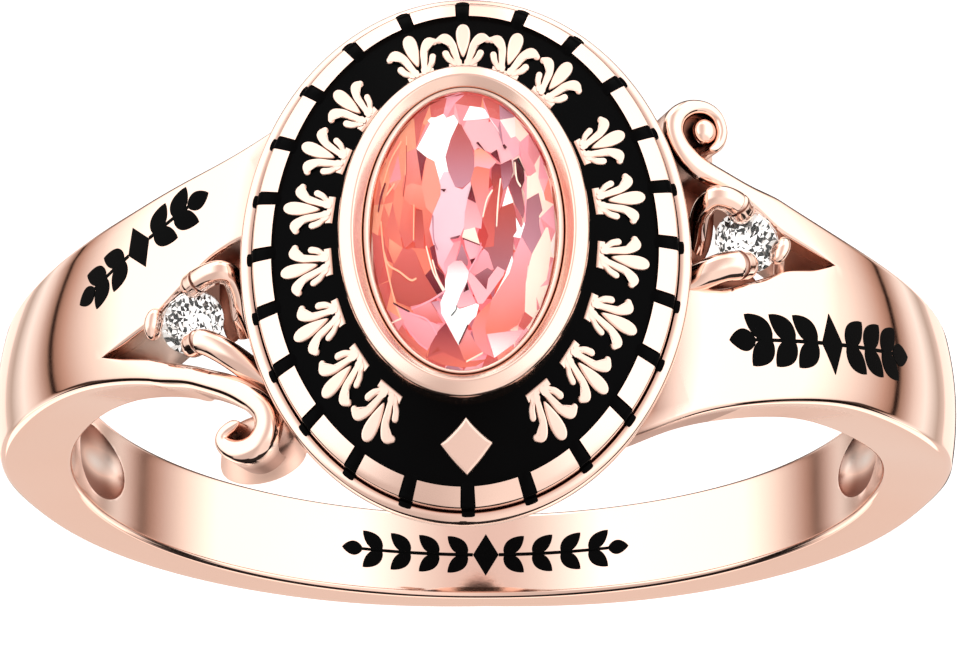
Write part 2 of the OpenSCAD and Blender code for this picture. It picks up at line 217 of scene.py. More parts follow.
class Shell:
    """Points and faces of one piece, gathered from grids and fans."""

    def __init__(self):
        self.points, self.faces, self.shades, self.count = [], [], [], 0

    def add(self, points, faces, shade=None):
        """Adds points, faces that count from the first of them, and each face's colours if shade gives them."""
        self.points.append(np.reshape(points, (-1, 3)))
        self.faces.extend((np.asarray(f) + self.count).tolist() for f in faces)
        self.shades.extend(shade if shade is not None else [None] * len(faces))
        self.count += len(self.points[-1])
        return self

    def tube(self, grid):
        """Grid of stations by points round, closed round and capped at both ends."""
        n, m = grid.shape[:2]
        return self.add(grid, [*quads(n, m, n - 1), np.arange(m)[::-1], (n - 1) * m + np.arange(m)])

    def ring(self, grid):
        """Grid closed both ways."""
        n, m = grid.shape[:2]
        return self.add(grid, quads(n, m, n))

    def pill(self, grid):
        """Grid of rings from one pole to the other; the first and last rows are single points repeated."""
        n, m = grid.shape[:2]
        points = np.vstack([grid[0, :1], grid[1:-1].reshape(-1, 3), grid[-1, :1]])
        j = np.arange(m)
        k = (j + 1) % m
        last = len(points) - 1
        fans = [(0, b, a) for a, b in zip(1 + j, 1 + k)]
        fans += [(last, a, b) for a, b in zip(last - m + j, last - m + k)]
        return self.add(points, [*(quads(n - 2, m, n - 3) + 1), *fans])

    def build(self, name, material, slot, sharp=38.0, replaces=(), patina=None, satin=0.0):
        """Puts the piece in the scene, its faces outward, smooth but for edges sharper than sharp degrees, and flat all
        over where sharp is None. The next to last argument gives from x, f and z painted shade, which darkens the metal
        in its recesses, and painted highlight where it is below 0; satin gives how dull it is; either may be a number
        too."""
        shape = np.vstack(self.points)
        points = np.clip(lay(shape), *cad_box)
        faces, shades = self.faces, self.shades
        if signed_volume(points, faces) < 0:
            faces = [f[::-1] for f in faces]
            shades = [s[::-1] if np.ndim(s) > 1 else s for s in shades]
        mesh = bpy.data.meshes.new(name)
        mesh.from_pydata(points, [], faces)
        mesh.update()
        if shades[0] is not None:
            colours = mesh.attributes.new("facet", "FLOAT_COLOR", "CORNER")
            shade = np.vstack([np.broadcast_to(s, (len(f), 3)) for s, f in zip(shades, faces)])
            colours.data.foreach_set("color", np.column_stack([shade, np.ones(len(shade))]).astype(np.float32).ravel())
        for key, given in (("patina", patina or 0.0), ("satin", satin)):
            value = given(*shape.T) if callable(given) else given
            layer = mesh.attributes.new(key, "FLOAT", "POINT")
            layer.data.foreach_set("value", np.full(len(shape), value, np.float32))
        mesh.materials.append(material)
        mesh.polygons.foreach_set("use_smooth", np.full(len(faces), sharp is not None))
        if sharp is not None:
            mesh.set_sharp_from_angle(angle=math.radians(sharp))
        piece = bpy.data.objects.new(name, mesh)
        bpy.context.collection.objects.link(piece)
        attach(piece, "root")
        if replaces:
            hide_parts(*replaces)
        return piece


def band_place(x, f, z):
    """Where points of the band lie: radius, degrees from the back, near edge, and whether they are well between the
    edges on the head's side."""
    r = np.hypot(x, z)
    t = 180 - np.degrees(np.arctan2(np.abs(x), z))
    near, far = outer_edges(np.where(x < 0, -t, t))
    return r, t, near, (f < near - 0.3) & (f > 0.3 - far) & (z > 0)


def bore_side(r, t, full):
    """1 on the finger's side of the band from full to 104 degrees from the back, fading out at 43 and 122."""
    return ramp(BORE + 0.06 - r, 0.0, 0.05) * ramp(t, 43, full) * (1 - ramp(t, 104, 122))


def band_painted_light(x, f, z):
    """Painted shade: brown in the corners of the gaps, on the arms' walls below their edges, and a little inside the
    band's sides.
    Below 0 it is a painted highlight, a pale place."""
    r, t, _, inside = band_place(x, f, z)
    share = np.where(x < 0, ramp(t, 131, 132.5) * (1 - 2.6 * ramp(t, 134.5, 138)), 0.6 - 0.5 * ramp(f, -0.9, -0.6))
    gap = 0.5 * inside * ramp(10.08 - r, 0.0, 0.3) * np.where(t > 146, 1.0, share) * (r > BORE + 0.05)
    curl = 0.4 * (np.abs(f) > 2.2) * (t > 147) * ramp(9.95 - r, 0.0, 0.25) * (z > 0)
    return np.where(gap < 0, gap, np.maximum(np.maximum(gap, curl), 0.16 * bore_side(r, t, 60)))


def band_satin(x, f, z):
    """Dull where a polishing wheel can't reach: the walls of the gaps, the arms' side faces and the bore's sides."""
    r, t, near, inside = band_place(x, f, z)
    walls = inside & (t > 130) & (r < 10.08)
    faces = 0.8 * ramp(t, 122, 132) * (r < 10.0) * (r > BORE + 0.05) * (f > near - 0.3)
    curl = (np.abs(f) > 2.2) & (t > 147) & (r < 9.95) & (z > 0)
    return np.maximum(np.maximum(walls | curl, faces), 0.3 * bore_side(r, t, 55))


def hollow_painted_light(x, f, z):
    """Painted shade, brown all over a hollow, but for a painted highlight, a pale spot, in its middle."""
    at, middle, reach, width = HOLLOW_HIGHLIGHT
    return BROWN - 1.6 * bell(from_back(x, z) - at, reach) * bell(f - middle, width)


def foot_painted_shade(x, f, z):
    """Painted shade: dark on top of a scroll's foot, in the eye of the curl, and brown where the foot meets the curl's
    side.
    """
    def spot(at, along, width, length):
        """Bell curve over x and f, 1 in its middle."""
        return bell(x - at, width) * bell(f - along, length)

    r = np.hypot(x, z)
    eye = spot(-4.42, 3.42, 0.24, 0.2) + spot(4.68, -2.98, 0.4, 0.45)
    shade = spot(-3.55, 3.8, 0.3, 0.4) * ramp(r, 9.0, 9.7)
    return np.maximum(np.minimum(1, 1.7 * eye) * (r > 9.8), 0.5 * shade)


def head_painted_shade(x, f, z):
    """Painted shade: dark in the crease round the rim, and on the head's wall where it faces the gaps."""
    out = np.hypot(x / HEAD_A, f / HEAD_B)
    share = (x / HEAD_A / np.maximum(out, 1e-6)) ** 2
    foot = 1 - CREASE[0] / HEAD_A * share - CREASE[1] / HEAD_B * (1 - share)
    crease = bell(out - foot, 0.0035) * (z < 9.95)
    wall = ramp(9.56 - z, 0, 0.12) * (np.abs(f) < 2.9) * (np.abs(x) > 2.5)
    return np.maximum(crease, wall)


def collar_painted_shade(x, f, z):
    """Painted shade: dark in the groove between the collar's roll and the stone's seat."""
    out = np.hypot(x / 1.948, f / 2.99)
    return bell(out - 1, 0.006) * (z > 11.0) * (z < 11.13)


def signed_volume(points, faces):
    """Sum over fan triangles of each face of a . (b x c) / 6."""
    a = [f[0] for f in faces for _ in f[2:]]
    b = [v for f in faces for v in f[1:-1]]
    c = [v for f in faces for v in f[2:]]
    pa, pb, pc = points[a], points[b], points[c]
    return float(np.einsum("ij,ij->", pa, np.cross(pb, pc))) / 6


def cut(piece, cutter):
    """Takes the cutter out of the piece."""
    modifier = piece.modifiers.new("hollow", "BOOLEAN")
    modifier.operation = "DIFFERENCE"
    modifier.solver = "EXACT"
    modifier.object = cutter
    graph = bpy.context.evaluated_depsgraph_get()
    mesh = bpy.data.meshes.new_from_object(piece.evaluated_get(graph))
    piece.modifiers.clear()
    piece.data = mesh
    mesh.set_sharp_from_angle(angle=math.radians(38))


# ---- curves and tables


def eased(points, per=8):
    """Catmull-Rom curve through the points, with per steps between each two."""
    p = np.asarray(points, float)
    p = np.vstack([2 * p[0] - p[1], p, 2 * p[-1] - p[-2]])
    a, b, c, d = (q[:, None, :] for q in (p[:-3], p[1:-2], p[2:-1], p[3:]))
    u = np.linspace(0, 1, per, endpoint=False)[None, :, None]
    curve = 0.5 * (2 * b + (c - a) * u + (2 * a - 5 * b + 4 * c - d) * u**2 + (3 * b - a - 3 * c + d) * u**3)
    return np.vstack([curve.reshape(-1, p.shape[1]), p[-2]])


def soft(t, table, reach=9.0):
    """A table read at t and averaged under a raised cosine, so that the value has no kinks."""
    xs, ys = np.array(table, float).T
    steps = np.linspace(-reach, reach, 19)
    weights = 1 + np.cos(np.pi * steps / reach)
    return sum(w * np.interp(t + s, xs, ys) for w, s in zip(weights, steps)) / weights.sum()


def ramp(t, a, b):
    """0 before a, 1 after b, and a smooth step between them."""
    u = np.clip((t - a) / (b - a), 0, 1)
    return u * u * (3 - 2 * u)


def bell(distance, width):
    """exp(-(distance / width)^2): 1 in the middle, falling to nothing on both sides."""
    return np.exp(-(distance / width) ** 2)


def rounds(n):
    """n even angles once round."""
    return np.linspace(0, 2 * np.pi, n, endpoint=False)


def unit(v):
    """Each vector over its length."""
    return v / np.linalg.norm(v, axis=-1, keepdims=True)


def from_back(x, z):
    """Degrees from the back of the band, to either side."""
    return np.degrees(np.arctan2(np.abs(x), -z))


def about(a, f, r):
    """Point at a radians from the back, f along the finger and r from its axis."""
    return np.stack([r * np.sin(a), f, -r * np.cos(a)], -1)


def on_skin(x, f, r):
    """Point at x, f on the cylinder of radius r round the finger's axis, on the head's side."""
    return np.stack([x, f, np.sqrt(r * r - x * x)], -1)


# ---- shank


def inner_edges(a):
    """Inner edges of the near and far halves at a degrees from the back, a > 0 on the right. Past the tips they are the
    sides of the gaps; between the tips both are one curve of a square and a cube, in which the halves join."""
    t = np.abs(a)
    seam = 0.14 * (a / GAP_TIP) ** 2 - 0.96 * (a / GAP_TIP) ** 3
    near = np.where(a < 0, soft(t, GAP_LEFT_NEAR, 2.0), soft(t, GAP_RIGHT_NEAR, 2.0))
    far = np.where(a < 0, soft(t, GAP_LEFT_FAR, 2.0), soft(t, GAP_RIGHT_FAR, 2.0))
    past = ramp(t, GAP_TIP, GAP_TIP + 1.2)
    end = np.where(a < 0, GAP_LEFT_NEAR[0][1], GAP_RIGHT_NEAR[0][1])
    return [np.where(t < GAP_TIP, seam, end + (side - end) * past) for side in (near, far)]


def outer_edges(a):
    """Outer edges of the near and far halves at a degrees from the back, both as distances from the middle plane."""
    t = np.abs(a)
    return (np.where(a < 0, soft(t, NEAR_LEFT), soft(t, NEAR_RIGHT)),
            np.where(a < 0, soft(t, FAR_LEFT, 5.0), soft(t, FAR_RIGHT)))


def arm_edges(a, way):
    """Inner and outer edge at a degrees of the near half, or of the far half turned half round where way is -1."""
    half = 0 if way > 0 else 1
    return inner_edges(a * way)[half] * way, outer_edges(a * way)[half]


def skin_radius(a, f, k):
    """Outside radius: the edge's radius plus a dome over the whole band, which past the gap's tip gives way to a dome
    over the arm alone, whose middle is k = 0 and whose edges are k = -1 and 1."""
    near, far = outer_edges(a)
    t = np.abs(a)
    whole = (f - (near - far) / 2) / ((near + far) / 2)
    own = ramp(t, GAP_TIP, 148)
    return soft(t, EDGE) + (1 - own) * soft(t, DOME) * (1 - whole**2) + own * ARM_DOME * (1 - k**2)


def strip_stations(way):
    """Stations of the near half, or of the far half turned half round where way is -1, from the slender arm round the
    back to the head: place a, f of the middle, reach da, df from there to the outer edge, how far the inner and outer
    corners are rounded across and (_v) down, radius of the floor, how free a scroll it is, and how far its rim stands
    in."""
    a = np.concatenate([np.linspace(-141.9, -GAP_TIP, 24)[:-1], np.linspace(-GAP_TIP, GAP_TIP, 301),
                        np.linspace(GAP_TIP, 172, 110)[1:]])
    t, n = np.abs(a), len(a)
    lo, hi = arm_edges(a, way)
    rounding = ROUND_GAP * ramp(t, GAP_TIP, GAP_TIP + 4)
    return dict(
        a=a, f=(lo + hi) / 2, da=np.zeros(n), df=(hi - lo) / 2, inner=rounding, outer=np.full(n, ROUND_ACROSS),
        inner_v=rounding, outer_v=np.full(n, ROUND_DOWN), floor=np.full(n, BORE), free=np.zeros(n),
        flare=soft(t, FLARE))


def scroll_stations(scroll, strip):
    """Stations of the scroll in the same terms, from its tip to the strip's first one, into which it passes over its
    last 1.3 mm. The tip narrows with the root of the distance from it."""
    x, f, w = eased(scroll, 9)[::-1].T
    a = -180 + np.degrees(np.arcsin(-x / SKIN))
    u = SKIN * np.radians(a)
    along = unit(-np.gradient(np.stack([u, f], -1), axis=0))
    side = np.stack([along[:, 1], -along[:, 0]], -1)
    side *= np.sign(side[-1, 1])
    length = np.concatenate([[0], np.cumsum(np.hypot(np.diff(u), np.diff(f)))])
    rest = length[-1] - length
    g = ramp(rest, 0, 1.3)
    tip = np.sqrt(np.clip(length / 0.16, 0, 1)) * 0.92 + 0.08
    half = (1 - g)[:, None] * np.array([0, strip["df"][0]]) + (g * w * tip)[:, None] * side
    hw = np.hypot(half[:, 0], half[:, 1])

    def passing(key, share):
        """The strip's own value at its end, and share of the half width on the scroll."""
        return (1 - g) * strip[key][0] + g * share * hw

    return dict(
        a=a, f=f + (strip["f"][0] - f[-1]) * (1 - g), da=np.degrees(half[:, 0] / SKIN), df=half[:, 1],
        inner=passing("inner", 0.8), outer=passing("outer", 0.86), inner_v=passing("inner_v", 0.7),
        outer_v=passing("outer_v", 0.8), floor=BORE + 0.75 * ramp(rest, 0.2, 1.6), free=g,
        flare=(1 - g) * strip["flare"][0])


def half_shank(scroll, way):
    """Near half of the shank as one loft: from the scroll's tip along the slender arm, round the back and up the broad
    arm into the head. With way = -1 it is the far half, worked out turned half round. Each section has a crowned top,
    rounded corners, side walls, a round lip at the outer wall's foot and the finger's cylinder below. Gives the grid
    and which stations lie on the seam."""
    strip = strip_stations(way)
    curl = scroll_stations(scroll, strip)
    s = {key: np.concatenate([curl[key][:-1], strip[key]])[:, None] for key in strip}
    hw = np.hypot(np.radians(s["da"]) * SKIN, s["df"])

    def top(k):
        """Outside radius at lateral place k; on the scroll it is that of its own round back."""
        place = s["a"] + k * s["da"]
        held = skin_radius(place * way, (s["f"] + k * s["df"]) * way, k)
        return (1 - s["free"]) * held + s["free"] * (SCROLL_BACK + SCROLL_DOME * (1 - k**2))

    # lateral places k, from -1 at the inner edge to 1 at the outer one, and the radius at each
    corner = np.radians(np.linspace(0, 90, 8))[None, :]
    wall = np.linspace(0, 1, 5)[None, :]
    turn = np.radians([[0, 15, 30, 45, 60, 75]])
    base = np.linspace(1, -1, 8)[None, :-1]
    k_in = -1 + s["inner"] * (1 - np.cos(corner)) / hw
    k_out = 1 - s["outer"] * (1 - np.cos(corner[:, ::-1])) / hw
    k_top = k_in[:, -1:] + (k_out[:, :1] - k_in[:, -1:]) * np.linspace(0, 1, 13)[None, 1:-1]
    r_in = top(k_in) - s["inner_v"] * (1 - np.sin(corner))
    r_out = top(k_out) - s["outer_v"] * (1 - np.sin(corner[:, ::-1]))
    k_all = np.concatenate([
        -np.ones_like(s["a"] * wall[:, :-1]), k_in, k_top, k_out, np.ones_like(s["a"] * wall[:, 1:-1]),
        1 - LIP / hw * (1 - np.cos(turn)), (1 - LIP / hw) * base], 1)
    r_all = np.concatenate([
        s["floor"] + (r_in[:, :1] - s["floor"]) * wall[:, :-1], r_in, top(k_top), r_out,
        r_out[:, -1:] + (s["floor"] + LIP - r_out[:, -1:]) * wall[:, 1:-1],
        s["floor"] + LIP * (1 - np.sin(turn)), s["floor"] + 0 * base], 1)
    # how much of the flare each place takes: none on top, all at the lip, and less again towards the inner edge
    drawn = np.concatenate([np.zeros(31), wall[0, 1:-1], np.ones(6), (1 + base[0]) / 2])
    grid = about(np.radians(s["a"] + k_all * s["da"]), s["f"] + k_all * s["df"] - drawn * s["flare"], r_all)
    on_seam = np.concatenate([np.zeros(len(curl["a"]) - 1, bool), np.abs(strip["a"]) <= GAP_TIP + 1e-9])
    return (grid if way > 0 else half_turn(grid)), on_seam


def shank_mesh():
    """Both halves as one closed mesh: along the seam the far half takes the near half's points, and the faces between
    the halves, whose columns are 0 to 11, are left out."""
    seam_columns = 12
    near, near_seam = half_shank(SCROLL_LEFT, 1)
    far, far_seam = half_shank(SCROLL_RIGHT, -1)
    points = np.vstack([near.reshape(-1, 3), far.reshape(-1, 3)])
    columns = near.shape[1]
    first = np.arange(near.shape[0] * columns).reshape(near.shape[:2])
    second = first.size + np.arange(far.shape[0] * columns).reshape(far.shape[:2])
    rows = np.flatnonzero(near_seam)
    first[rows[:, None], np.arange(4, 11)] = first[rows, 11][:, None]
    second[np.flatnonzero(far_seam)[:, None], np.arange(seam_columns)] = first[rows[::-1], :seam_columns]
    faces = []
    for index, seam in ((first, near_seam), (second, far_seam)):
        j = np.arange(columns)
        k = (j + 1) % columns
        for i in range(len(index) - 1):
            row = np.stack([index[i, j], index[i, k], index[i + 1, k], index[i + 1, j]], -1)
            if seam[i] and seam[i + 1]:
                row = row[seam_columns - 1:]
            faces.extend(list(dict.fromkeys(quad)) for quad in row.tolist())
        faces += [index[0, ::-1].tolist(), index[-1].tolist()]
    faces = [f for f in faces if len(f) > 2]
    used = np.unique(np.concatenate([np.array(f) for f in faces]))
    moved = np.zeros(len(points), int)
    moved[used] = np.arange(len(used))
    return points[used], [moved[f] for f in faces]


def half_turn(grid):
    """The same shape turned half round the head's axis."""
    return grid * np.array([-1, -1, 1])


def ball(centre, radii, turn=0.0, tilt=0.0, rows=20, cols=32):
    """Ellipsoid: centre plus radii times (sin v cos u, sin v sin u, cos v), turned about z and leaned about f."""
    v, u = np.meshgrid(np.linspace(0, np.pi, rows), rounds(cols), indexing="ij")
    p = np.stack([np.sin(v) * np.cos(u), np.sin(v) * np.sin(u), np.cos(v)], -1) * np.array(radii)
    x, y = spun(p[..., 0], p[..., 1], turn)
    x, z = spun(x, p[..., 2], -tilt)
    return np.stack([x, y, z], -1) + np.array(centre)


def bar(path, radius, cols=20):
    """Round bar along a path of points, closed at its start by a half ball and at its end by a flat cap. Each station
    is a circle across the path."""
    p = np.asarray(path, float)
    along = unit(np.gradient(p, axis=0))
    up = unit(np.stack([p[:, 0], 0 * p[:, 0], p[:, 2]], -1))
    side = unit(np.cross(up, along))
    out = np.cross(along, side)
    cap = np.radians(np.linspace(4, 80, 7))
    r = np.broadcast_to(radius, len(p)).astype(float)
    p = np.vstack([p[0] - along[0] * r[0] * np.cos(cap)[:, None], p])
    side, out = (np.vstack([np.repeat(v[:1], len(cap), 0), v]) for v in (side, out))
    r = np.concatenate([r[0] * np.sin(cap), r])[:, None, None]
    u = rounds(cols)[None, :, None]
    return p[:, None, :] + r * (np.cos(u) * side[:, None, :] + np.sin(u) * out[:, None, :])


# ---- head


def tick_angle(k):
    """Angle of tick k: even turns, eased by 3.4 degrees times sin(2 t) so that the ticks stand evenly along the oval,
    and all turned back by 1.2 degrees."""
    t = 2 * np.pi * k / TICKS
    return t + np.radians(3.4) * np.sin(2 * t) - np.radians(1.2)


def oval(t, a, b, h):
    """Point t round the oval a, b at height h; t = 0 is the far end and grows towards the right."""
    return np.stack([a * np.sin(t), -b * np.cos(t), h + 0 * t], -1)


def oval_speed(t, a, b):
    """How many mm the oval a, b runs for each radian of its angle."""
    return np.hypot(a * np.cos(t), b * np.sin(t))


def head_columns():
    """Angles of the head's columns, and how deep in a tick's channel each is: 0 outside it and 1 on its floor. The
    channel's walls are narrow slopes."""
    across = np.array([-0.2, -0.16, -0.142, -0.125, -0.108, -0.06, 0, 0.06, 0.108, 0.125, 0.142, 0.16, 0.2])
    depth = np.array([0, 0, 0, 0.5, 1, 1, 1, 1, 1, 0.5, 0, 0, 0])
    mid = tick_angle(np.arange(TICKS))
    t = mid[:, None] + across[None, :] / oval_speed(mid, *RIM_MIDDLE)[:, None]
    c = np.broadcast_to(depth, t.shape)
    gap_from, gap_to = t[:, -1], np.append(t[1:, 0], t[0, 0] + 2 * np.pi)
    fill = np.linspace(0, 1, 9)[1:-1]
    t2 = gap_from[:, None] + (gap_to - gap_from)[:, None] * fill
    t = np.concatenate([t, t2], 1).ravel()
    c = np.concatenate([c, np.zeros_like(t2)], 1).ravel()
    return t, c


def rim_shape(u):
    """Height above the crease of the rim's block, u from 0 at the crease to 1 at the enamel: a slope of 0.175 that
    rises inward, times a superellipse of RIM_POWER that makes it steep at its foot."""
    return (0.215 + 0.175 * u) * (1 - (1 - u) ** RIM_POWER) ** (1 / RIM_POWER)


def rim_point(u, t, drop=0.0):
    """Point on the rim at angle t. From u = 0 to 1 it crosses the block from the crease to the enamel, and below 0 it
    runs out over the flange; drop lowers it."""
    out = np.clip(-u, 0, None)
    h = 9.9 + rim_shape(np.clip(u, 0, 1)) - 0.1 * out - drop
    return oval(t, HEAD_A - BLOCK_FOOT[0] - BLOCK_WIDTH[0] * u, HEAD_B - BLOCK_FOOT[1] - BLOCK_WIDTH[1] * u, h)


def head_grid():
    """Head as rings from the middle of its top, over the rim and down the wall to the finger's cylinder, and in under
    it to the middle. How low the wall meets the cylinder is found in 30 rounds of z = sqrt(BORE^2 - x^2)."""
    t, c = head_columns()
    rows = [oval(t, 0, 0, 10.3), oval(t, 1.6, 2.6, 10.3), oval(t, 2.3, 3.3, 10.4), oval(t, 3.7, 4.85, 10.05),
            oval(t, HEAD_A - 0.66, HEAD_B - 0.6, 10.07)]
    rows += [rim_point(1.035, t, 0.045 + 0.1 * c), rim_point(1.01, t, 0.008 + 0.1 * c)]
    for v in np.radians([86, 80, 72, 62, 50, 38, 28, 20, 13, 8, 4.5, 2, 0.8, 0.2, 0]):
        rows.append(rim_point(1 - np.cos(v) ** (2 / RIM_POWER), t, 0.1 * c * np.sin(v) ** (2 / RIM_POWER)))
    flange = [(0.256, 0.211, 9.86), (*CREASE, 9.845), (0.236, 0.191, 9.86), (0.226, 0.182, 9.884),
              (0.19, 0.16, 9.888), (0.155, 0.135, 9.882), (0.12, 0.105, 9.872), (0.08, 0.073, 9.858),
              (0.045, 0.042, 9.84), (0.02, 0.019, 9.812), (0.005, 0.005, 9.77), (0.0, 0.0, 9.7),
              (0.01, 0.01, 9.59), (0.04, 0.036, 9.53), (0.1, 0.1, 9.45), (0.2, 0.2, WALL_TOP)]
    rows += [oval(t, HEAD_A - ia, HEAD_B - ib, h) for ia, ib, h in flange]
    low = np.full_like(t, 8.0)
    for _ in range(30):
        low = np.sqrt(BORE**2 - ((WALL_A - WALL_LEAN * (WALL_TOP - low)) * np.sin(t)) ** 2)
    for u in np.linspace(0.12, 1, 8):
        h = WALL_TOP + (low - WALL_TOP) * u
        rows.append(oval(t, WALL_A - WALL_LEAN * (WALL_TOP - h), WALL_B - WALL_LEAN * (WALL_TOP - h), h))
    edge = rows[-1]
    for u in (0.96, 0.85, 0.7, 0.5, 0.3, 0.12, 0.0):
        p = edge * np.array([u, u, 1])
        p[:, 2] = np.sqrt(BORE**2 - p[:, 0] ** 2)
        rows.append(p)
    return np.stack(rows)


def lathe(profile):
    """Closed ring: a loop of half width, half length and height carried round the oval."""
    return oval(rounds(288)[:, None], *np.asarray(profile, float).T)


def field_point(t, xi, eta, rise):
    """Point over the enamel: xi mm outward from the field's middle and eta mm along it at angle t, rise mm above it
    along its slope's normal. The field falls from the collar's foot to the rim with a slight hollow."""
    q = 0.5 + xi / FIELD_WIDTH
    a, b = (foot + growth * q for foot, growth in zip(FIELD_FOOT, FIELD_GROWTH))
    turn = t + eta / oval_speed(t, *FIELD_MIDDLE)
    h = 10.69 - 0.49 * q - 0.05 * q * (1 - q)
    out = unit(np.stack([b * np.sin(turn), -a * np.cos(turn)], -1))
    normal = np.concatenate([0.34 * out, np.full_like(out[..., :1], 0.94)], -1)
    return oval(turn, a, b, h) + normal * np.asarray(rise)[..., None]


def plaque(outline, low, high, bevel):
    """Flat-topped solid over an outline in (xi, eta): a wall, a narrow slope drawn in by bevel, and a flat top.
    Returns rows of (xi, eta, rise), the first and last being poles."""
    o = np.asarray(outline, float)
    edge = np.roll(o, -1, 0) - np.roll(o, 1, 0)
    normal = unit(np.stack([edge[:, 1], -edge[:, 0]], -1))
    area = np.sum(o[:, 0] * np.roll(o[:, 1], -1) - np.roll(o[:, 0], -1) * o[:, 1])
    normal *= np.sign(area)
    middle = o.mean(0)
    rows = []
    for inset, rise in ((None, low), (0, low), (0, high - bevel * 0.7), (bevel * 0.3, high - bevel * 0.2),
                        (bevel, high), (bevel * 1.2, high), (None, high)):
        q = np.repeat(middle[None], len(o), 0) if inset is None else o - normal * inset
        rows.append(np.column_stack([q, np.full(len(o), rise)]))
    return np.stack(rows)


def leaf_outline(start, turn, length, width):
    """Pointed leaf from start: its half width is width times sin(pi u^0.85)^0.8, u along its length."""
    n = 14
    u = np.concatenate([np.linspace(0, 1, n), np.linspace(1, 0, n)[1:-1]])
    sign = np.concatenate([np.ones(n), -np.ones(n - 2)])
    x, y = spun(length * u, sign * width * np.sin(np.pi * u**0.85) ** 0.8, math.radians(turn))
    return np.stack([start[0] + x, start[1] + y], -1)


def closed_line(corners, per):
    """Outline through the corners, with per points on the way from each to the next."""
    return np.concatenate([np.linspace(p, q, per, endpoint=False) for p, q in zip(corners, [*corners[1:], corners[0]])])


def relief(shell, t, outlines, high, bevel=0.035):
    """Raised shapes over the enamel at angle t, each a little lower than the one before it."""
    for i, outline in enumerate(outlines):
        rows = plaque(outline, -0.12, high - 0.004 * i, bevel)
        shell.pill(field_point(t, rows[..., 0], rows[..., 1], rows[..., 2]))


def stroke(points, widths, n=7):
    """Outline of a curved stroke through points with a half width at each, round at both ends."""
    p = eased(np.column_stack([points, widths]), n)
    line, w = p[:, :2], p[:, 2]
    along = unit(np.gradient(line, axis=0))
    side = np.stack([-along[:, 1], along[:, 0]], -1)
    left, right = (line + side * way * w[:, None] for way in (1, -1))
    arc = np.radians(np.linspace(-90, 90, 7)[1:-1])[:, None]
    end = line[-1] + w[-1] * (np.cos(arc) * along[-1] + np.sin(arc) * side[-1])
    start = line[0] - w[0] * (np.cos(arc) * along[0] + np.sin(arc) * side[0])
    return np.vstack([right, end, left[::-1], start[::-1]])


def palmette():
    """Outlines of a spray: a tall drop between two pairs of scrolled stems that rise from a short bar."""
    u = rounds(28)
    drop = np.stack([0.13 - 0.37 * np.cos(u), 0.125 * np.sin(u) * (1 - 0.45 * np.cos(u))], -1)
    parts = [drop]
    for s in (-1, 1):
        parts.append(stroke([(-0.36, 0.1 * s), (-0.16, 0.16 * s), (0.06, 0.22 * s), (0.24, 0.33 * s), (0.2, 0.45 * s)],
                            [0.06, 0.075, 0.085, 0.085, 0.07]))
        parts.append(stroke([(-0.36, 0.2 * s), (-0.24, 0.31 * s), (-0.12, 0.36 * s)], [0.05, 0.07, 0.075]))
    parts.append(np.array([(-0.5, -0.32), (-0.36, -0.32), (-0.36, 0.32), (-0.5, 0.32)]))
    return parts


# ---- stones

GEM_TONES = {
    "white": "ffffff", "pale": "fbece7", "blush": "f2b4bb", "pink": "e8989f", "lilac": "ebc4cf", "mauve": "aa6f79",
    "wine": "8a3541", "coral": "e57f6e", "orange": "f0a287", "brick": "b7534b", "rose": "d46b66",
    "grey": "d8d5d2", "smoke": "6c6663", "black": "0a0908", "petal": "f3a9b6", "shell": "fbe6d8", "orchid": "bf8a99",
    "garnet": "5e1522", "salmon": "f79a8b", "peach": "f9bfa0",
}
GEM_LEFT = ["coral", "rose", "orange", "salmon", "rose", "pink", "orange"]
GEM_MIDDLE = ["blush", "pink", "petal", "rose", "petal", "coral", "orchid"]
GEM_RIGHT = ["blush", "shell", "petal", "shell", "pale", "blush", "pink"]
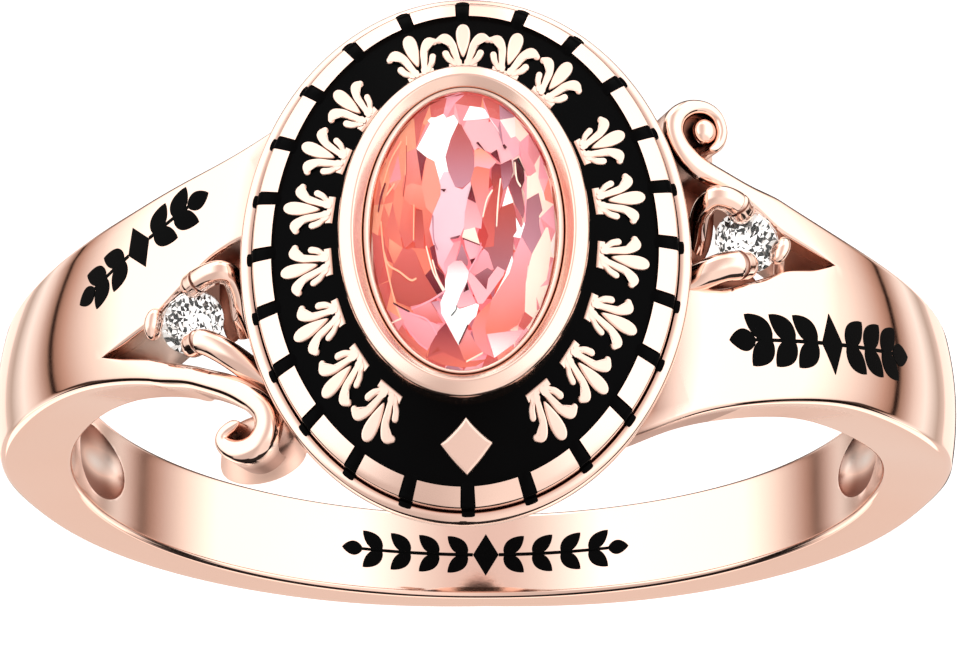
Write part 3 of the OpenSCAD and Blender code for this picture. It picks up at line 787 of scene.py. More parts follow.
# Large facets seen through the table, the later ones over the earlier, in colours partly the stone's own and partly
# painted highlight and shade: tone at the upper end, tone at the lower end, and the outline's points one after
# another, in hundredths of the half width and half length
GEM_FACETS = [
    ("pink", "rose", -76, 64, -56, 79, -34, 89, -10, 97, 0, 99, 14, 98, 32, 94, 50, 86, 67, 76, 81, 59, 64, 75, 48, 84,
     36, 89, 14, 95, 0, 96, -12, 95, -34, 88, -53, 78),
    ("blush", "blush", -5, 81, 16, 82, 28, 82, 35, 74, 43, 68, 54, 53, 43, 45, 40, 50, 37, 59, 30, 57, 15, 61, 11, 59,
     9, 62, 0, 73),
    ("blush", "petal", 37, 81, 44, 83, 64, 75, 60, 66, 61, 56, 54, 53, 43, 68, 34, 79),
    ("petal", "pink", 64, 75, 74, 67, 81, 59, 79, 54, 80, 50, 85, 49, 81, 44, 73, 40, 68, 42, 64, 50, 61, 61, 60, 66),
    ("brick", "brick", 79, 54, 84, 58, 88, 48, 79, 51),
    ("shell", "shell", 73, 40, 85, 46, 88, 48, 96, 35, 98, 17, 98, -1, 90, -1, 86, 16, 81, 27, 69, 22, 69, 40),
    ("pink", "coral", -65, 70, -46, 84, -38, 79, -53, 60, -47, 36, -47, 33, -58, 35, -64, 33, -67, 24, -69, 31, -64,
     49),
    ("salmon", "salmon", -42, 54, -33, 51, -26, 33, -26, 27, -35, 12, -42, 17, -47, 33, -44, 49),
    ("salmon", "coral", -64, 33, -58, 35, -47, 33, -42, 17, -46, 15, -53, 17, -61, 20, -67, 24),
    ("coral", "rose", -46, 15, -42, 17, -35, 12, -38, 1, -35, -12, -41, -13, -44, 1),
    ("brick", "rose", -53, 16, -46, 15, -44, 1, -44, -14, -53, -15, -54, 1),
    ("orange", "coral", -77, 61, -65, 70, -64, 49, -69, 31, -67, 24, -71, 1, -75, 9, -80, 25, -78, 41),
    ("orange", "orange", -92, 48, -77, 61, -78, 41, -80, 25, -91, 5, -99, 3, -99, 25),
    ("coral", "rose", -67, 24, -61, 20, -54, 16, -55, -7, -65, -13, -71, 1),
    ("wine", "rose", -88, 49, -82, 56, -80, 41, -83, 33, -87, 35),
    ("rose", "coral", -91, 5, -80, 25, -75, 9, -71, 1, -67, -13, -82, -15, -88, -9),
    ("lilac", "lilac", -23, 43, -17, 43, -10, 32, -2, 30, 7, 36, 8, 28, 4, 23, 0, 2, -4, -4, -15, -6, -22, -11, -29,
     -15, -34, -9, -38, 1, -34, 13, -26, 26, -26, 33, -28, 37),
    ("wine", "wine", -53, 60, -42, 54, -44, 49, -47, 36),
    ("white", "white", -45, 84, -32, 88, -10, 95, 0, 96, 14, 95, 28, 92, 41, 86, 37, 82, 30, 83, 16, 82, -2, 81, -6,
     81, -20, 57, -19, 50, -17, 43, -23, 43, -27, 37, -29, 41, -33, 51, -42, 54, -53, 60, -38, 79, -41, 81),
    ("white", "blush", 28, 90, 37, 85, 36, 79, 41, 69, 33, 77, 28, 82, 26, 86),
    ("brick", "orchid", -6, 81, 0, 73, 7, 65, 11, 54, 11, 45, 7, 36, -2, 31, -10, 32, -18, 44, -21, 54, -15, 68),
    ("coral", "pink", 7, 36, 11, 46, 14, 47, 28, 45, 27, 29, 32, 28, 20, 8, 13, 20, 8, 33),
    ("orange", "petal", 11, 59, 19, 60, 27, 56, 36, 50, 28, 45, 14, 47, 11, 46),
    ("pink", "blush", 4, 23, 13, 20, 20, 8, 19, 1, 12, 2, 0, 0, 1, 13),
    ("shell", "shell", 0, 0, 12, 2, 18, -11, -2, -5),
    ("wine", "brick", 30, 45, 34, 49, 40, 48, 41, 39, 33, 29, 30, 35),
    ("brick", "rose", 31, 28, 33, 30, 40, 37, 43, 29, 34, 1, 34, -13, 23, -13, 27, -4, 20, 8),
    ("wine", "orchid", 40, 48, 52, 52, 54, 43, 49, 33, 43, 29, 41, 39),
    ("garnet", "garnet", 54, 51, 60, 53, 68, 39, 63, 30, 58, 36),
    ("wine", "mauve", 49, 33, 55, 41, 63, 30, 67, 15, 65, 8, 55, 20),
    ("brick", "mauve", 41, 17, 54, 20, 58, 9, 63, 2, 55, -5, 54, -19, 45, -30, 37, -27, 32, -30, 22, -13, 33, -12, 34,
     -1, 34, 9),
    ("mauve", "orchid", 82, 27, 86, 15, 90, 1, 75, -18, 63, -5, 67, 7, 69, 22),
    ("white", "white", 48, 32, 42, 17, 54, 20),
    ("white", "white", 63, 1, 66, 6, 67, 4, 65, 0, 62, -6, 54, -5, 58, -1, 57, 9),
    ("garnet", "garnet", 13, 64, 15, 65, 23, 58, 21, 59),
    ("garnet", "wine", 29, 56, 36, 59, 40, 49),
    ("garnet", "garnet", 42, 62, 44, 63, 47, 61, 45, 59),
    ("garnet", "garnet", -26, 30, -20, 30, -22, 28),
    ("garnet", "wine", 8, 33, 13, 20, 4, 23),
    ("black", "garnet", 60, 53, 67, 43, 65, 44, 58, 52),
    ("rose", "rose", -83, -5, -67, -13, -58, -15, -77, -26, -82, -15),
    ("orange", "coral", -82, -6, -67, -13, -76, -25, -82, -16),
    ("rose", "brick", -77, -26, -58, -13, -53, -16, -44, -31, -29, -47, -36, -52, -58, -56, -73, -52, -80, -39),
    ("coral", "coral", -58, -13, -41, -14, -35, -28, -42, -33, -53, -16),
    ("wine", "garnet", -42, -33, -35, -28, -22, -45, -28, -48),
    ("garnet", "wine", -33, -26, -21, -33, -19, -44, -22, -41),
    ("wine", "wine", -37, -13, -32, -11, -28, -26, -22, -32, -33, -25),
    ("lilac", "petal", -32, -11, -22, -8, -15, -7, -10, -11, -17, -27, -20, -33, -28, -24),
    ("pink", "petal", -10, -9, -3, -8, -9, -23, -17, -27, -20, -31, -22, -25),
    ("garnet", "mauve", -15, -6, -4, -4, -6, -6, -14, -7),
    ("orchid", "mauve", -2, -10, 5, -23, 4, -27, -4, -22, -9, -24),
    ("petal", "blush", 0, -7, 18, -11, 21, -13, 14, -20, 7, -22, 2, -14),
    ("garnet", "wine", -1, -6, 18, -11, 18, -12, -1, -7),
    ("garnet", "wine", 7, -22, 13, -21, 10, -28),
    ("petal", "pink", 22, -14, 27, -17, 33, -29, 12, -33, 6, -30, 14, -22),
    ("mauve", "wine", 12, -34, 26, -28, 33, -31, 25, -44),
    ("blush", "blush", 27, -36, 37, -27, 45, -30, 44, -33, 21, -54, 16, -54, 4, -36, 7, -31, 12, -34, 25, -44),
    ("petal", "coral", 63, -5, 75, -19, 70, -27, 68, -44, 67, -60, 60, -69, 43, -76, 25, -76, 24, -71, 30, -52, 50,
     -33, 55, -19),
    ("white", "shell", 53, -19, 54, -23, 50, -32, 31, -51, 35, -47, 45, -34),
    ("shell", "shell", 90, 1, 98, 1, 98, -15, 92, -35, 84, -54, 77, -65, 67, -60, 68, -39, 72, -25, 75, -18),
    ("rose", "rose", 67, -60, 77, -65, 66, -73, 60, -70),
    ("coral", "pink", 9, -71, 14, -63, 25, -55, 30, -53, 24, -71, 26, -80, 34, -93, 21, -89, 13, -82),
    ("blush", "white", 26, -76, 50, -74, 66, -73, 55, -83, 34, -93),
    ("blush", "white", -17, -27, -10, -23, -2, -23, 6, -31, 4, -37, 3, -40, -20, -40, -20, -37),
    ("white", "white", -20, -40, 3, -39, -3, -47, -8, -56, -4, -58, 14, -54, 17, -55, 14, -63, 9, -66, 4, -71, -5, -84,
     -18, -68, -24, -61, -25, -53, -20, -45),
    ("orchid", "blush", 4, -38, 7, -44, 14, -54, -3, -57, -8, -56, -3, -47),
    ("black", "garnet", 4, -38, 6, -44, 0, -46),
    ("pink", "coral", -5, -84, 4, -71, 13, -82, 21, -89, 4, -96, -3, -91),
    ("wine", "rose", -39, -93, -33, -78, -19, -68, -5, -84, 2, -96, -22, -89),
    ("brick", "brick", -39, -93, -27, -85, -25, -88, -34, -90),
    ("rose", "coral", -39, -93, -22, -89, 2, -96, 14, -95, 26, -94, 14, -99, 0, -100, -22, -98),
    ("rose", "coral", -77, -69, -69, -67, -58, -78, -39, -87, -41, -93, -58, -85),
    ("petal", "pink", -75, -54, -58, -61, -24, -70, -29, -76, -39, -88, -58, -76, -68, -65),
    ("pink", "rose", -58, -56, -36, -53, -29, -60, -22, -68, -39, -67, -52, -63),
    ("orchid", "petal", -35, -53, -26, -52, -24, -62, -20, -67, -27, -61),
]
# Painted highlight and shade lines along edges inside the stone: tone, half width, and the middle line's points in the
# same hundredths
GEM_EDGES = [
    ("peach", 0.7, -95, 11, -89, 21, -77, 33),
    ("peach", 0.5, -64, 68, -64, 54, -65, 40),
    ("peach", 0.7, -87, -17, -82, -26, -70, -31, -58, -37, -52, -36),
    ("peach", 0.8, -91, 5, -88, -15, -83, -31, -75, -52, -68, -65),
    ("shell", 0.8, -34, -23, -28, -36, -20, -45),
    ("shell", 0.7, -41, -13, -34, -30, -28, -38, -22, -45),
    ("shell", 0.6, -78, -68, -68, -65),
    ("petal", 0.7, -56, -58, -36, -52, -20, -45),
    ("petal", 0.7, -76, -54, -58, -61, -39, -66, -29, -76),
    ("petal", 0.7, -58, -74, -49, -82, -39, -87),
    ("peach", 0.7, -92, 25, -82, 49, -70, 64),
    ("brick", 0.5, -67, 24, -64, 41, -64, 61),
    ("shell", 0.7, 21, 9, 25, 21, 31, 28),
    ("shell", 0.7, 36, 2, 37, 17, 40, 36),
    ("petal", 0.7, 67, 5, 68, 22, 67, 40),
    ("shell", 0.8, 56, 48, 58, 36, 62, 31),
    ("garnet", 0.6, -76, -54, -68, -57, -59, -60),
    ("shell", 0.6, 4, -96, 21, -90),
    ("black", 0.4, -13, -63, -8, -59, -7, -56),
    ("garnet", 0.6, 5, -70, -4, -83),
    ("petal", 0.6, 19, -11, 15, -20, 6, -31),
    ("wine", 0.8, -87, 33, -91, 25, -94, 13),
    ("peach", 0.6, -55, 17, -55, 1, -55, -8),
    ("orchid", 0.7, -34, 9, -33, -7, -29, -15),
]


def hexed(code):
    """Linear colour of a hexadecimal screen colour: c / 12.92 below 0.04045, and ((c + 0.055) / 1.055)^2.4 above."""
    c = np.array([int(code[i:i + 2], 16) for i in (0, 2, 4)]) / 255
    return tuple(np.where(c < 0.04045, c / 12.92, ((c + 0.055) / 1.055) ** 2.4))


def shards(a, b, depth, count, seed, colour):
    """The pavilion as it shows through the top: points strewn in an oval, joined by Delaunay triangles and set on a
    bowl of depth (1 - r^1.3), each triangle with its own colour. stretch lengthens them along the stone. Returns
    points, faces, shades and how many of the points lie round the edge."""
    rng = np.random.default_rng(seed)
    edge, stretch = 32, 1.6
    t = 2 * np.pi * np.arange(edge) / edge
    rim = np.stack([np.sin(t), np.cos(t)], -1)
    spots = rng.uniform(-1, 1, (count * 12, 2))
    spots = spots[np.hypot(*spots.T) < 0.94]
    kept = [spots[0]]
    space = 1.5 / math.sqrt(count)
    for spot in spots:
        gap = (np.array(kept) - spot) * np.array([stretch, 1 / stretch])
        if len(kept) < count and np.min(np.hypot(*gap.T)) > space:
            kept.append(spot)
    flat = np.vstack([rim, kept])
    faces = delaunay_2d_cdt([Vector(p) for p in flat], [], [], 0, 1e-6)[2]
    r = np.minimum(np.hypot(*flat.T), 1)
    jog = rng.uniform(-1, 1, len(flat)) * 0.16 * (r < 0.99)
    points = np.column_stack([a * flat[:, 0], b * flat[:, 1], -depth * (1 - r**1.3) - depth * jog])
    shades = [colour(flat[list(f)].mean(0), rng) for f in faces]
    return points, faces, shades, edge


def pink_shade(place, rng):
    """Coral to the left, pink in the middle, and pale to the right."""
    row = GEM_LEFT if place[0] < -0.25 else GEM_MIDDLE if place[0] < 0.45 else GEM_RIGHT
    return hexed(GEM_TONES[row[rng.integers(len(row))]])


def clear_shade(place, rng):
    """Painted reflections of a clear stone: white, with black and smoky splinters that crowd in a ring nearer to the
    edge.
    """
    r = float(np.hypot(*place))
    dark = 0.16 + 0.4 * bell(r - 0.72, 0.2)
    draw = rng.random()
    tone = "black" if draw < dark else "smoke" if draw < dark + 0.07 else "grey" if draw < dark + 0.2 else "white"
    return hexed(GEM_TONES[tone])


def graded(tone, end, outline):
    """Colours at the outline's points: tone at its upper end, end at its lower one, and in step with height between."""
    y = outline[:, 1]
    share = ((y.max() - y) / max(np.ptp(y), 1e-9))[:, None]
    return (1 - share) * np.array(hexed(GEM_TONES[tone])) + share * np.array(hexed(GEM_TONES[end]))


def cut_crown(a, b, crown, table):
    """Crown of a cut stone: a flat table, kites and stars between it and the girdle, and a flat underside below the
    girdle. Rings at the table, halfway, and twice at the girdle."""
    n, girdle = 16, 0.05

    def loop(count, turn, s, z):
        """Corners round the oval of size s at height z, turned by turn steps."""
        t = 2 * np.pi * (np.arange(count) + turn) / count
        return np.stack([a * s * np.sin(t), b * s * np.cos(t), 0 * t + z], -1)

    h = n // 2
    points = np.vstack([loop(h, 0, table, crown), loop(h, 0.5, (table + 1) / 2 + 0.02, crown * 0.58),
                        loop(n, 0, 1, girdle / 2), loop(n, 0, 1, -girdle / 2)])
    faces = [tuple(range(h))]
    for k in range(h):
        nxt, g = (k + 1) % h, 2 * h + 2 * k
        g1, g2 = 2 * h + 2 * k + 1, 2 * h + (2 * k + 2) % n
        faces += [(k, h + k, nxt), (k, g, h + k), (nxt, h + k, g2), (h + k, g, g1), (h + k, g1, g2),
                  (g, g + n, g1 + n, g1), (g1, g1 + n, g2 + n, g2)]
    faces.append(tuple(range(2 * h + 2 * n - 1, 2 * h + n - 1, -1)))
    return points, faces


# ---- shader nodes


class Value:
    """A socket that carries a number. Sums and products of it add Math nodes."""

    def __init__(self, paint, socket):
        self.paint, self.socket = paint, socket

    def __add__(self, other):
        return self.paint.maths("ADD", self, other)

    __radd__ = __add__

    def __mul__(self, other):
        return self.paint.maths("MULTIPLY", self, other)

    __rmul__ = __mul__

    def __sub__(self, other):
        return self.paint.maths("SUBTRACT", self, other)

    def __rsub__(self, other):
        return self.paint.maths("SUBTRACT", other, self)


class Made:
    """A node that has been added, with its outputs by name or number."""

    def __init__(self, paint, node):
        self.paint, self.node = paint, node

    def out(self, key):
        """One of the outputs as a number that can be reckoned with."""
        return Value(self.paint, self.node.outputs[key])


class Paint:
    """Node tree of a material or of the world."""

    def __init__(self, tree):
        self.tree = tree
        tree.nodes.clear()

    def node(self, kind, settings=None, sockets=None):
        """Adds a node, sets its settings and a ramp's stops, then each socket from a number, colour or link."""
        node = self.tree.nodes.new(kind)
        for key, value in (settings or {}).items():
            if key == "stops":
                elements = node.color_ramp.elements
                while len(elements) < len(value):
                    elements.new(0.5)
                for element, (place, colour) in zip(elements, value):
                    element.position, element.color = place, (*colour, 1.0)
            else:
                setattr(node, key, value)
        for key, value in (sockets or {}).items():
            socket = node.inputs[key]
            if isinstance(value, Value):
                self.tree.links.new(value.socket, socket)
            elif isinstance(value, tuple) and len(value) == 3 and socket.type == "RGBA":
                socket.default_value = (*value, 1.0)
            else:
                socket.default_value = value
        return Made(self, node)

    def maths(self, operation, *values):
        """A Math node over numbers or links."""
        return self.node("ShaderNodeMath", {"operation": operation}, dict(enumerate(values))).out(0)

    def blend(self, share, a, b):
        """Colour a where share is 0 and b where it is 1."""
        return self.node("ShaderNodeMix", {"data_type": "RGBA"}, {0: share, 6: a, 7: b}).out(2)

    def noise(self, place, scale, detail=3.0):
        """A cloud from 0 to 1."""
        return self.node("ShaderNodeTexNoise", {}, {"Vector": place, "Scale": scale, "Detail": detail}).out(0)

    def layer(self, name):
        """A number kept at each of the piece's own points."""
        return self.node("ShaderNodeAttribute", {"attribute_name": name}).out("Fac")

    def place(self):
        """The piece's own coordinates."""
        return self.node("ShaderNodeTexCoord").out("Object")


def surface(name, sockets, extra=None):
    """A material of one main shader whose sockets are numbers, colours or functions of its Paint."""
    material = bpy.data.materials.new(name)
    material.use_nodes = True
    paint = Paint(material.node_tree)
    filled = {key: value(paint) if callable(value) else value for key, value in sockets.items()}
    shader = paint.node("ShaderNodeBsdfPrincipled", {}, filled).out(0)
    if extra:
        shader = extra(paint, shader)
    paint.node("ShaderNodeOutputMaterial", {}, {"Surface": shader})
    return material


def uneven(scale, swing, base):
    """A value of base and swing times a cloud of that scale."""
    return lambda paint: paint.noise(paint.place(), scale) * swing + base


def rose_gold(name, colour, rough, marked):
    """Rose gold: a faint cloud in its colour, painted shade that turns it brown and then black and painted highlight
    that pales it, both from the painted light layer, an uneven gloss, and hair-fine marks left by polishing.
    """
    def tone(paint):
        cloud = paint.noise(paint.place(), 260.0)
        unshaded = paint.blend(cloud, tuple(c * 0.965 for c in colour), tuple(min(1, c * 1.03) for c in colour))
        # painted light from the layer: below 0 a painted highlight pales the metal, above 0 painted shade turns it
        # brown and past BROWN black
        dark = paint.layer("patina")
        unshaded = paint.blend(dark * -1.0, unshaded, (1.0, 0.97, 0.94))
        brown = paint.blend(dark * 1.6, unshaded, (0.27, 0.105, 0.07))
        return paint.blend((dark - BROWN) * 2.6, brown, (0.012, 0.006, 0.005))

    def gloss(paint):
        return paint.noise(paint.place(), 900.0) * 0.05 + paint.layer("satin") * 0.33 + rough

    def marks(paint):
        fine = paint.noise(paint.place(), 5200.0, 2.0)
        return paint.node("ShaderNodeBump", {}, {"Strength": marked, "Distance": 0.00002, "Height": fine}).out(0)

    return surface(name, {"Base Color": tone, "Metallic": 1.0, "Roughness": gloss, "Normal": marks})


def black_enamel(name, colour, rough):
    """Fired enamel: near black with a faint cloud and a slightly uneven gloss."""
    def tone(paint):
        return paint.blend(paint.noise(paint.place(), 700.0), tuple(c * 0.6 for c in colour), colour)

    def ripple(paint):
        return paint.node("ShaderNodeBump", {}, {"Strength": 0.04, "Distance": 0.00003,
                                                 "Height": paint.noise(paint.place(), 1600.0)}).out(0)

    return surface(name, {"Base Color": tone, "Roughness": uneven(1400.0, 0.1, rough), "Normal": ripple,
                          "Specular IOR Level": 0.02})


def stone_heart(name, depth, painted_glow):
    """Inner facets of a cut stone, each with its own colour, a little cloudy inside, and glowing with that colour as
    painted light.
    """
    def tone(paint):
        facet = paint.node("ShaderNodeAttribute", {"attribute_name": "facet"}).out("Color")
        facet = paint.node("ShaderNodeGamma", {}, {"Color": facet, "Gamma": 1.12}).out(0)
        cloud = paint.noise(paint.place(), 1500.0)
        return paint.node("ShaderNodeMix", {"data_type": "RGBA", "blend_type": "SOFT_LIGHT"},
                          {0: depth, 6: facet, 7: cloud}).out(2)

    return surface(name, {"Base Color": tone, "Roughness": uneven(900.0, 0.1, 0.06), "Specular IOR Level": 0.15,
                          "Emission Color": tone, "Emission Strength": painted_glow})


def stone_skin(name, tint, ior):
    """Clear outer facets: light passes straight through, and reflections grow towards glancing angles."""
    def extra(paint, shader):
        clear = paint.node("ShaderNodeBsdfTransparent", {}, {"Color": tint}).out(0)
        share = paint.node("ShaderNodeFresnel", {}, {"IOR": ior}).out(0)
        return paint.node("ShaderNodeMixShader", {}, {0: share, 1: clear, 2: shader}).out(0)

    white = (1.0, 1.0, 1.0)
    return surface(name, {"Base Color": white, "Metallic": 1.0, "Roughness": uneven(800.0, 0.02, 0.01)}, extra)


def world_light(sky):
    """Soft studio: the colours of STUDIO by turn from the camera, given way to STUDIO_HIGH higher up, and darker or
    lighter behind the panels. Turn is atan2(x, -y) and height is asin(z) of the direction."""
    paint = Paint(sky.node_tree)
    split = paint.node("ShaderNodeSeparateXYZ", {}, {0: paint.node("ShaderNodeTexCoord").out("Generated")})
    turn = paint.maths("ABSOLUTE", paint.maths("ARCTAN2", split.out(0), split.out(1) * -1.0))
    height = paint.maths("ARCSINE", split.out(2))

    def step(value, low, high):
        """0 at low and 1 at high, with a smooth step between them."""
        return paint.node("ShaderNodeMapRange", {"interpolation_type": "SMOOTHSTEP"},
                          {"Value": value, 1: low, 2: high, 3: 0.0, 4: 1.0}).out(0)

    def within(value, low, high, fade):
        """1 from low to high and 0 beyond them by more than fade, in degrees."""
        middle, half = math.radians((low + high) / 2), math.radians((high - low) / 2)
        return step(paint.maths("ABSOLUTE", value - middle), half + math.radians(fade), half)

    # a ramp's colours stop at 1, so the table goes in at half and the strength doubles it
    half = [(place / 180, tuple(c / 2 for c in colour)) for place, colour in STUDIO]
    low = paint.node("ShaderNodeValToRGB", {"stops": half}, {0: turn * (1 / math.pi)}).out(0)
    left, right = (tuple(c / 2 for c in colour) for colour in STUDIO_HIGH)
    high = paint.blend(step(split.out(0), -0.25, 0.25), left, right)
    rise = step(height, *(math.radians(a) for a in STUDIO_RISE))
    light = 2.0
    for near, far, under, over, fade, taken in STUDIO_PANELS:
        light = (1 - within(turn, near, far, fade) * within(height, under, over, fade) * taken) * light
    back = paint.node("ShaderNodeBackground", {}, {"Color": paint.blend(rise, low, high), "Strength": light})
    paint.node("ShaderNodeOutputWorld", {}, {"Surface": back.out(0)})


# Materials made so far
MADE = {}


def finish(name):
    """The material of that name, made once from the scene's colours."""
    if name not in MADE:
        look = bpy.context.scene.ring_colours
        gold, black = tuple(look.metal), tuple(look.enamel)
        MADE.update({
            "metal": rose_gold("rose_gold", gold, 0.035, 0.012),
            "head": rose_gold("rose_gold_head", gold, 0.1, 0.02),
            "collar": rose_gold("rose_gold_collar", gold, 0.16, 0.02),
            "satin": rose_gold("rose_gold_satin", gold, 0.3, 0.05),
            "enamel": black_enamel("black_enamel", black, 0.2),
            "engraving": black_enamel("black_engraving", black, 0.3),
            # the stones' inner facets glow as painted light
            "heart": stone_heart("pink_facets", 0.08, 0.38),
            "sparkle": stone_heart("clear_facets", 0.05, 0.6),
            "pink_skin": stone_skin("pink_stone", (0.98, 0.99, 0.985), 1.2),
            "clear_skin": stone_skin("clear_stone", (1.0, 1.0, 1.0), 1.35),
        })
    return MADE[name]


# ---- properties, operators and panel


class RingSizes(bpy.types.PropertyGroup):
    """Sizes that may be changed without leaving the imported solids."""
    relief: bpy.props.FloatProperty(name="Relief", description="Height of the raised ornament over the enamel",
                                    default=0.06 * MM, min=0.01 * MM, max=0.12 * MM, unit="LENGTH", precision=5)
    engraving: bpy.props.FloatProperty(name="Engraving", description="Size of the filled engraving",
                                       default=1.0, min=0.5, max=1.2, subtype="FACTOR")
    claw: bpy.props.FloatProperty(name="Claw", description="Thickness of a claw",
                                  default=0.47 * MM, min=0.3 * MM, max=0.5 * MM, unit="LENGTH", precision=5)


class RingColours(bpy.types.PropertyGroup):
    """Colours of the metal, the enamel and the floor."""
    metal: bpy.props.FloatVectorProperty(name="Metal", description="Rose gold", default=(0.93, 0.68, 0.585),
                                         size=3, min=0, max=1, subtype="COLOR")
    enamel: bpy.props.FloatVectorProperty(name="Enamel", description="Black enamel", default=(0.002, 0.002, 0.0022),
                                          size=3, min=0, max=1, subtype="COLOR")
    floor: bpy.props.FloatVectorProperty(name="Floor", description="Pale floor", default=(0.93, 0.93, 0.93),
                                         size=3, min=0, max=1, subtype="COLOR")


class RING_OT_shank(bpy.types.Operator):
    """Band, arms and scrolls, with the two hollows in the inner wall"""
    bl_idname = "ring.shank"
    bl_label = "Shank"

    def execute(self, context):
        metal = finish("metal")
        shank = Shell().add(*shank_mesh()).build("shank", metal, "metal", replaces=("ring_body",), patina=band_painted_light,
                                                 satin=band_satin)
        x, f, z = np.moveaxis(ball((0, 0, 0), HOLLOW_AXES, rows=60, cols=96), -1, 0)
        c, s = math.cos(math.radians(HOLLOW_AT)), math.sin(math.radians(HOLLOW_AT))
        for side in (-1, 1):
            # the ball's x runs along the wall and its z outward
            turned = np.stack([side * (HOLLOW_RADIUS * s + x * c + z * s), f, -HOLLOW_RADIUS * c + x * s - z * c], -1)
            cutter = Shell().pill(turned).build("cutter", metal, "metal")
            cut(shank, cutter)
            bpy.data.objects.remove(cutter)
        # the hollows' points, which the cut brings in, get their own painted shade and highlight, and satin
        x, f, z = stand(shank.data)
        r, (high, wide, turn) = np.hypot(x, z), HOLLOW_WITHIN
        hollow = (r > BORE + 0.004) & (r < high) & (np.abs(f) < wide) & (np.abs(from_back(x, z) - HOLLOW_AT) < turn)
        for key, value in (("patina", hollow_painted_light(x, f, z)), ("satin", np.ones_like(x))):
            layer = shank.data.attributes[key]
            kept = np.zeros(len(x), np.float32)
            layer.data.foreach_get("value", kept)
            layer.data.foreach_set("value", np.where(hollow, value, kept).astype(np.float32))
        return {"FINISHED"}


class RING_OT_head(bpy.types.Operator):
    """Oval head with its channelled rim, and the collar round the stone"""
    bl_idname = "ring.head"
    bl_label = "Head"

    def execute(self, context):
        Shell().pill(head_grid()).build("head", finish("head"), "metal", sharp=30, patina=head_painted_shade)
        # the collar's roll: two arcs by centre, height, radius and turns of the normal, joined by straight slopes
        wall = [(*FIELD_FOOT, z) for z in (10.62, 10.72, 10.84)]
        arcs = [np.column_stack([a + r * np.cos(v), a + 1.025 + r * np.cos(v), z + r * np.sin(v)])
                for a, z, r, v in ((2.295, 11.155, 0.135, np.radians(np.linspace(0, 66, 12))),
                                   (2.165, 11.3, 0.06, np.radians(np.linspace(66, 132, 10))))]
        slope = [(1.985, 3.018, 11.2), (1.968, 3.004, 11.184), (1.96, 2.998, 11.16)]
        seat = [(1.955, 2.995, 11.1), (1.948, 2.99, 11.085), (1.94, 2.985, 11.1), (1.935, 2.98, 11.175),
                (1.92, 2.972, 11.2), (1.87, 2.935, 11.196), (1.835, 2.912, 11.178), (1.815, 2.9, 11.145),
                (1.812, 2.9, 11.1), (1.812, 2.9, 10.6), (2.3, 3.3, 10.5)]
        Shell().ring(lathe(np.vstack([wall, *arcs, slope, seat]))).build(
            "collar", finish("collar"), "metal", sharp=50, patina=collar_painted_shade)
        return {"FINISHED"}


class RING_OT_enamel(bpy.types.Operator):
    """Black enamel round the collar, and the ticks that run over the rim"""
    bl_idname = "ring.enamel"
    bl_label = "Enamel"

    def execute(self, context):
        t = rounds(288)
        top = [field_point(t, (w - 0.5) * FIELD_WIDTH + 0 * t, 0 * t, 0.0) for w in np.linspace(1, 0, 16)]
        sunk = [oval(t, a, b, h) for a, b, h in ((2.38, 3.4, 10.45), (3.0, 4.1, 10.1), (3.79, 4.96, 10.08))]
        shell = Shell().ring(np.stack(top + sunk, 1))
        # a tick's section every few hundredths of u: over the field's edge, over the block, and out on to the flange
        inner, foot, tip = 1.3, -0.04, -0.3
        u = np.concatenate([[inner, 1.1], 1 - np.cos(np.radians(np.linspace(88, 4, 20))) ** (2 / RIM_POWER), [0.0],
                            np.linspace(foot, tip, 9)])
        # half its width, drawn in to a blunt round end over the last 0.262 of u
        half = 0.122 * np.clip(1 - np.clip((foot - u) / 0.262, 0, 1) ** 8, 0.003, 1) ** 0.25
        drop = np.interp(u, [tip, foot, 0.05, 0.25, 1.0, inner], [-0.036, -0.032, -0.006, 0.022, 0.03, 0.06])
        across = np.linspace(-1, 1, 9)
        for mid in tick_angle(np.arange(TICKS)):
            tt = mid + half[:, None] * across[None, :] / oval_speed(mid, *RIM_MIDDLE)
            upper = rim_point(u[:, None] + 0 * tt, tt, drop[:, None] + 0.014 * across[None, :] ** 2)
            lower = upper[:, ::-1][:, [0, 4, 8]] - np.array([0, 0, 0.14])
            shell.tube(np.concatenate([upper, lower], 1))
        shell.build("enamel_field", finish("enamel"), "enamel", replaces=("enamel",))
        return {"FINISHED"}


class RING_OT_ornament(bpy.types.Operator):
    """Raised palmettes and the lozenge on the enamel"""
    bl_idname = "ring.ornament"
    bl_label = "Ornament"

    def execute(self, context):
        high = context.scene.ring_sizes.relief / MM
        shell = Shell()
        # three groups of palmettes, in degrees round the field: first one, step and how many
        for first, step, count in ((212, 17, 7), (341, 18, 4), (60, 17.5, 6)):
            for k in range(count):
                relief(shell, math.radians(first + step * k), palmette(), high)
        lozenge = closed_line([(-0.48, 0), (0, -0.51), (0.48, 0), (0, 0.51)], 5)
        relief(shell, math.pi - 0.02, [lozenge], high, 0.06)
        shell.build("raised_ornament", finish("satin"), "metal", sharp=12)
        return {"FINISHED"}


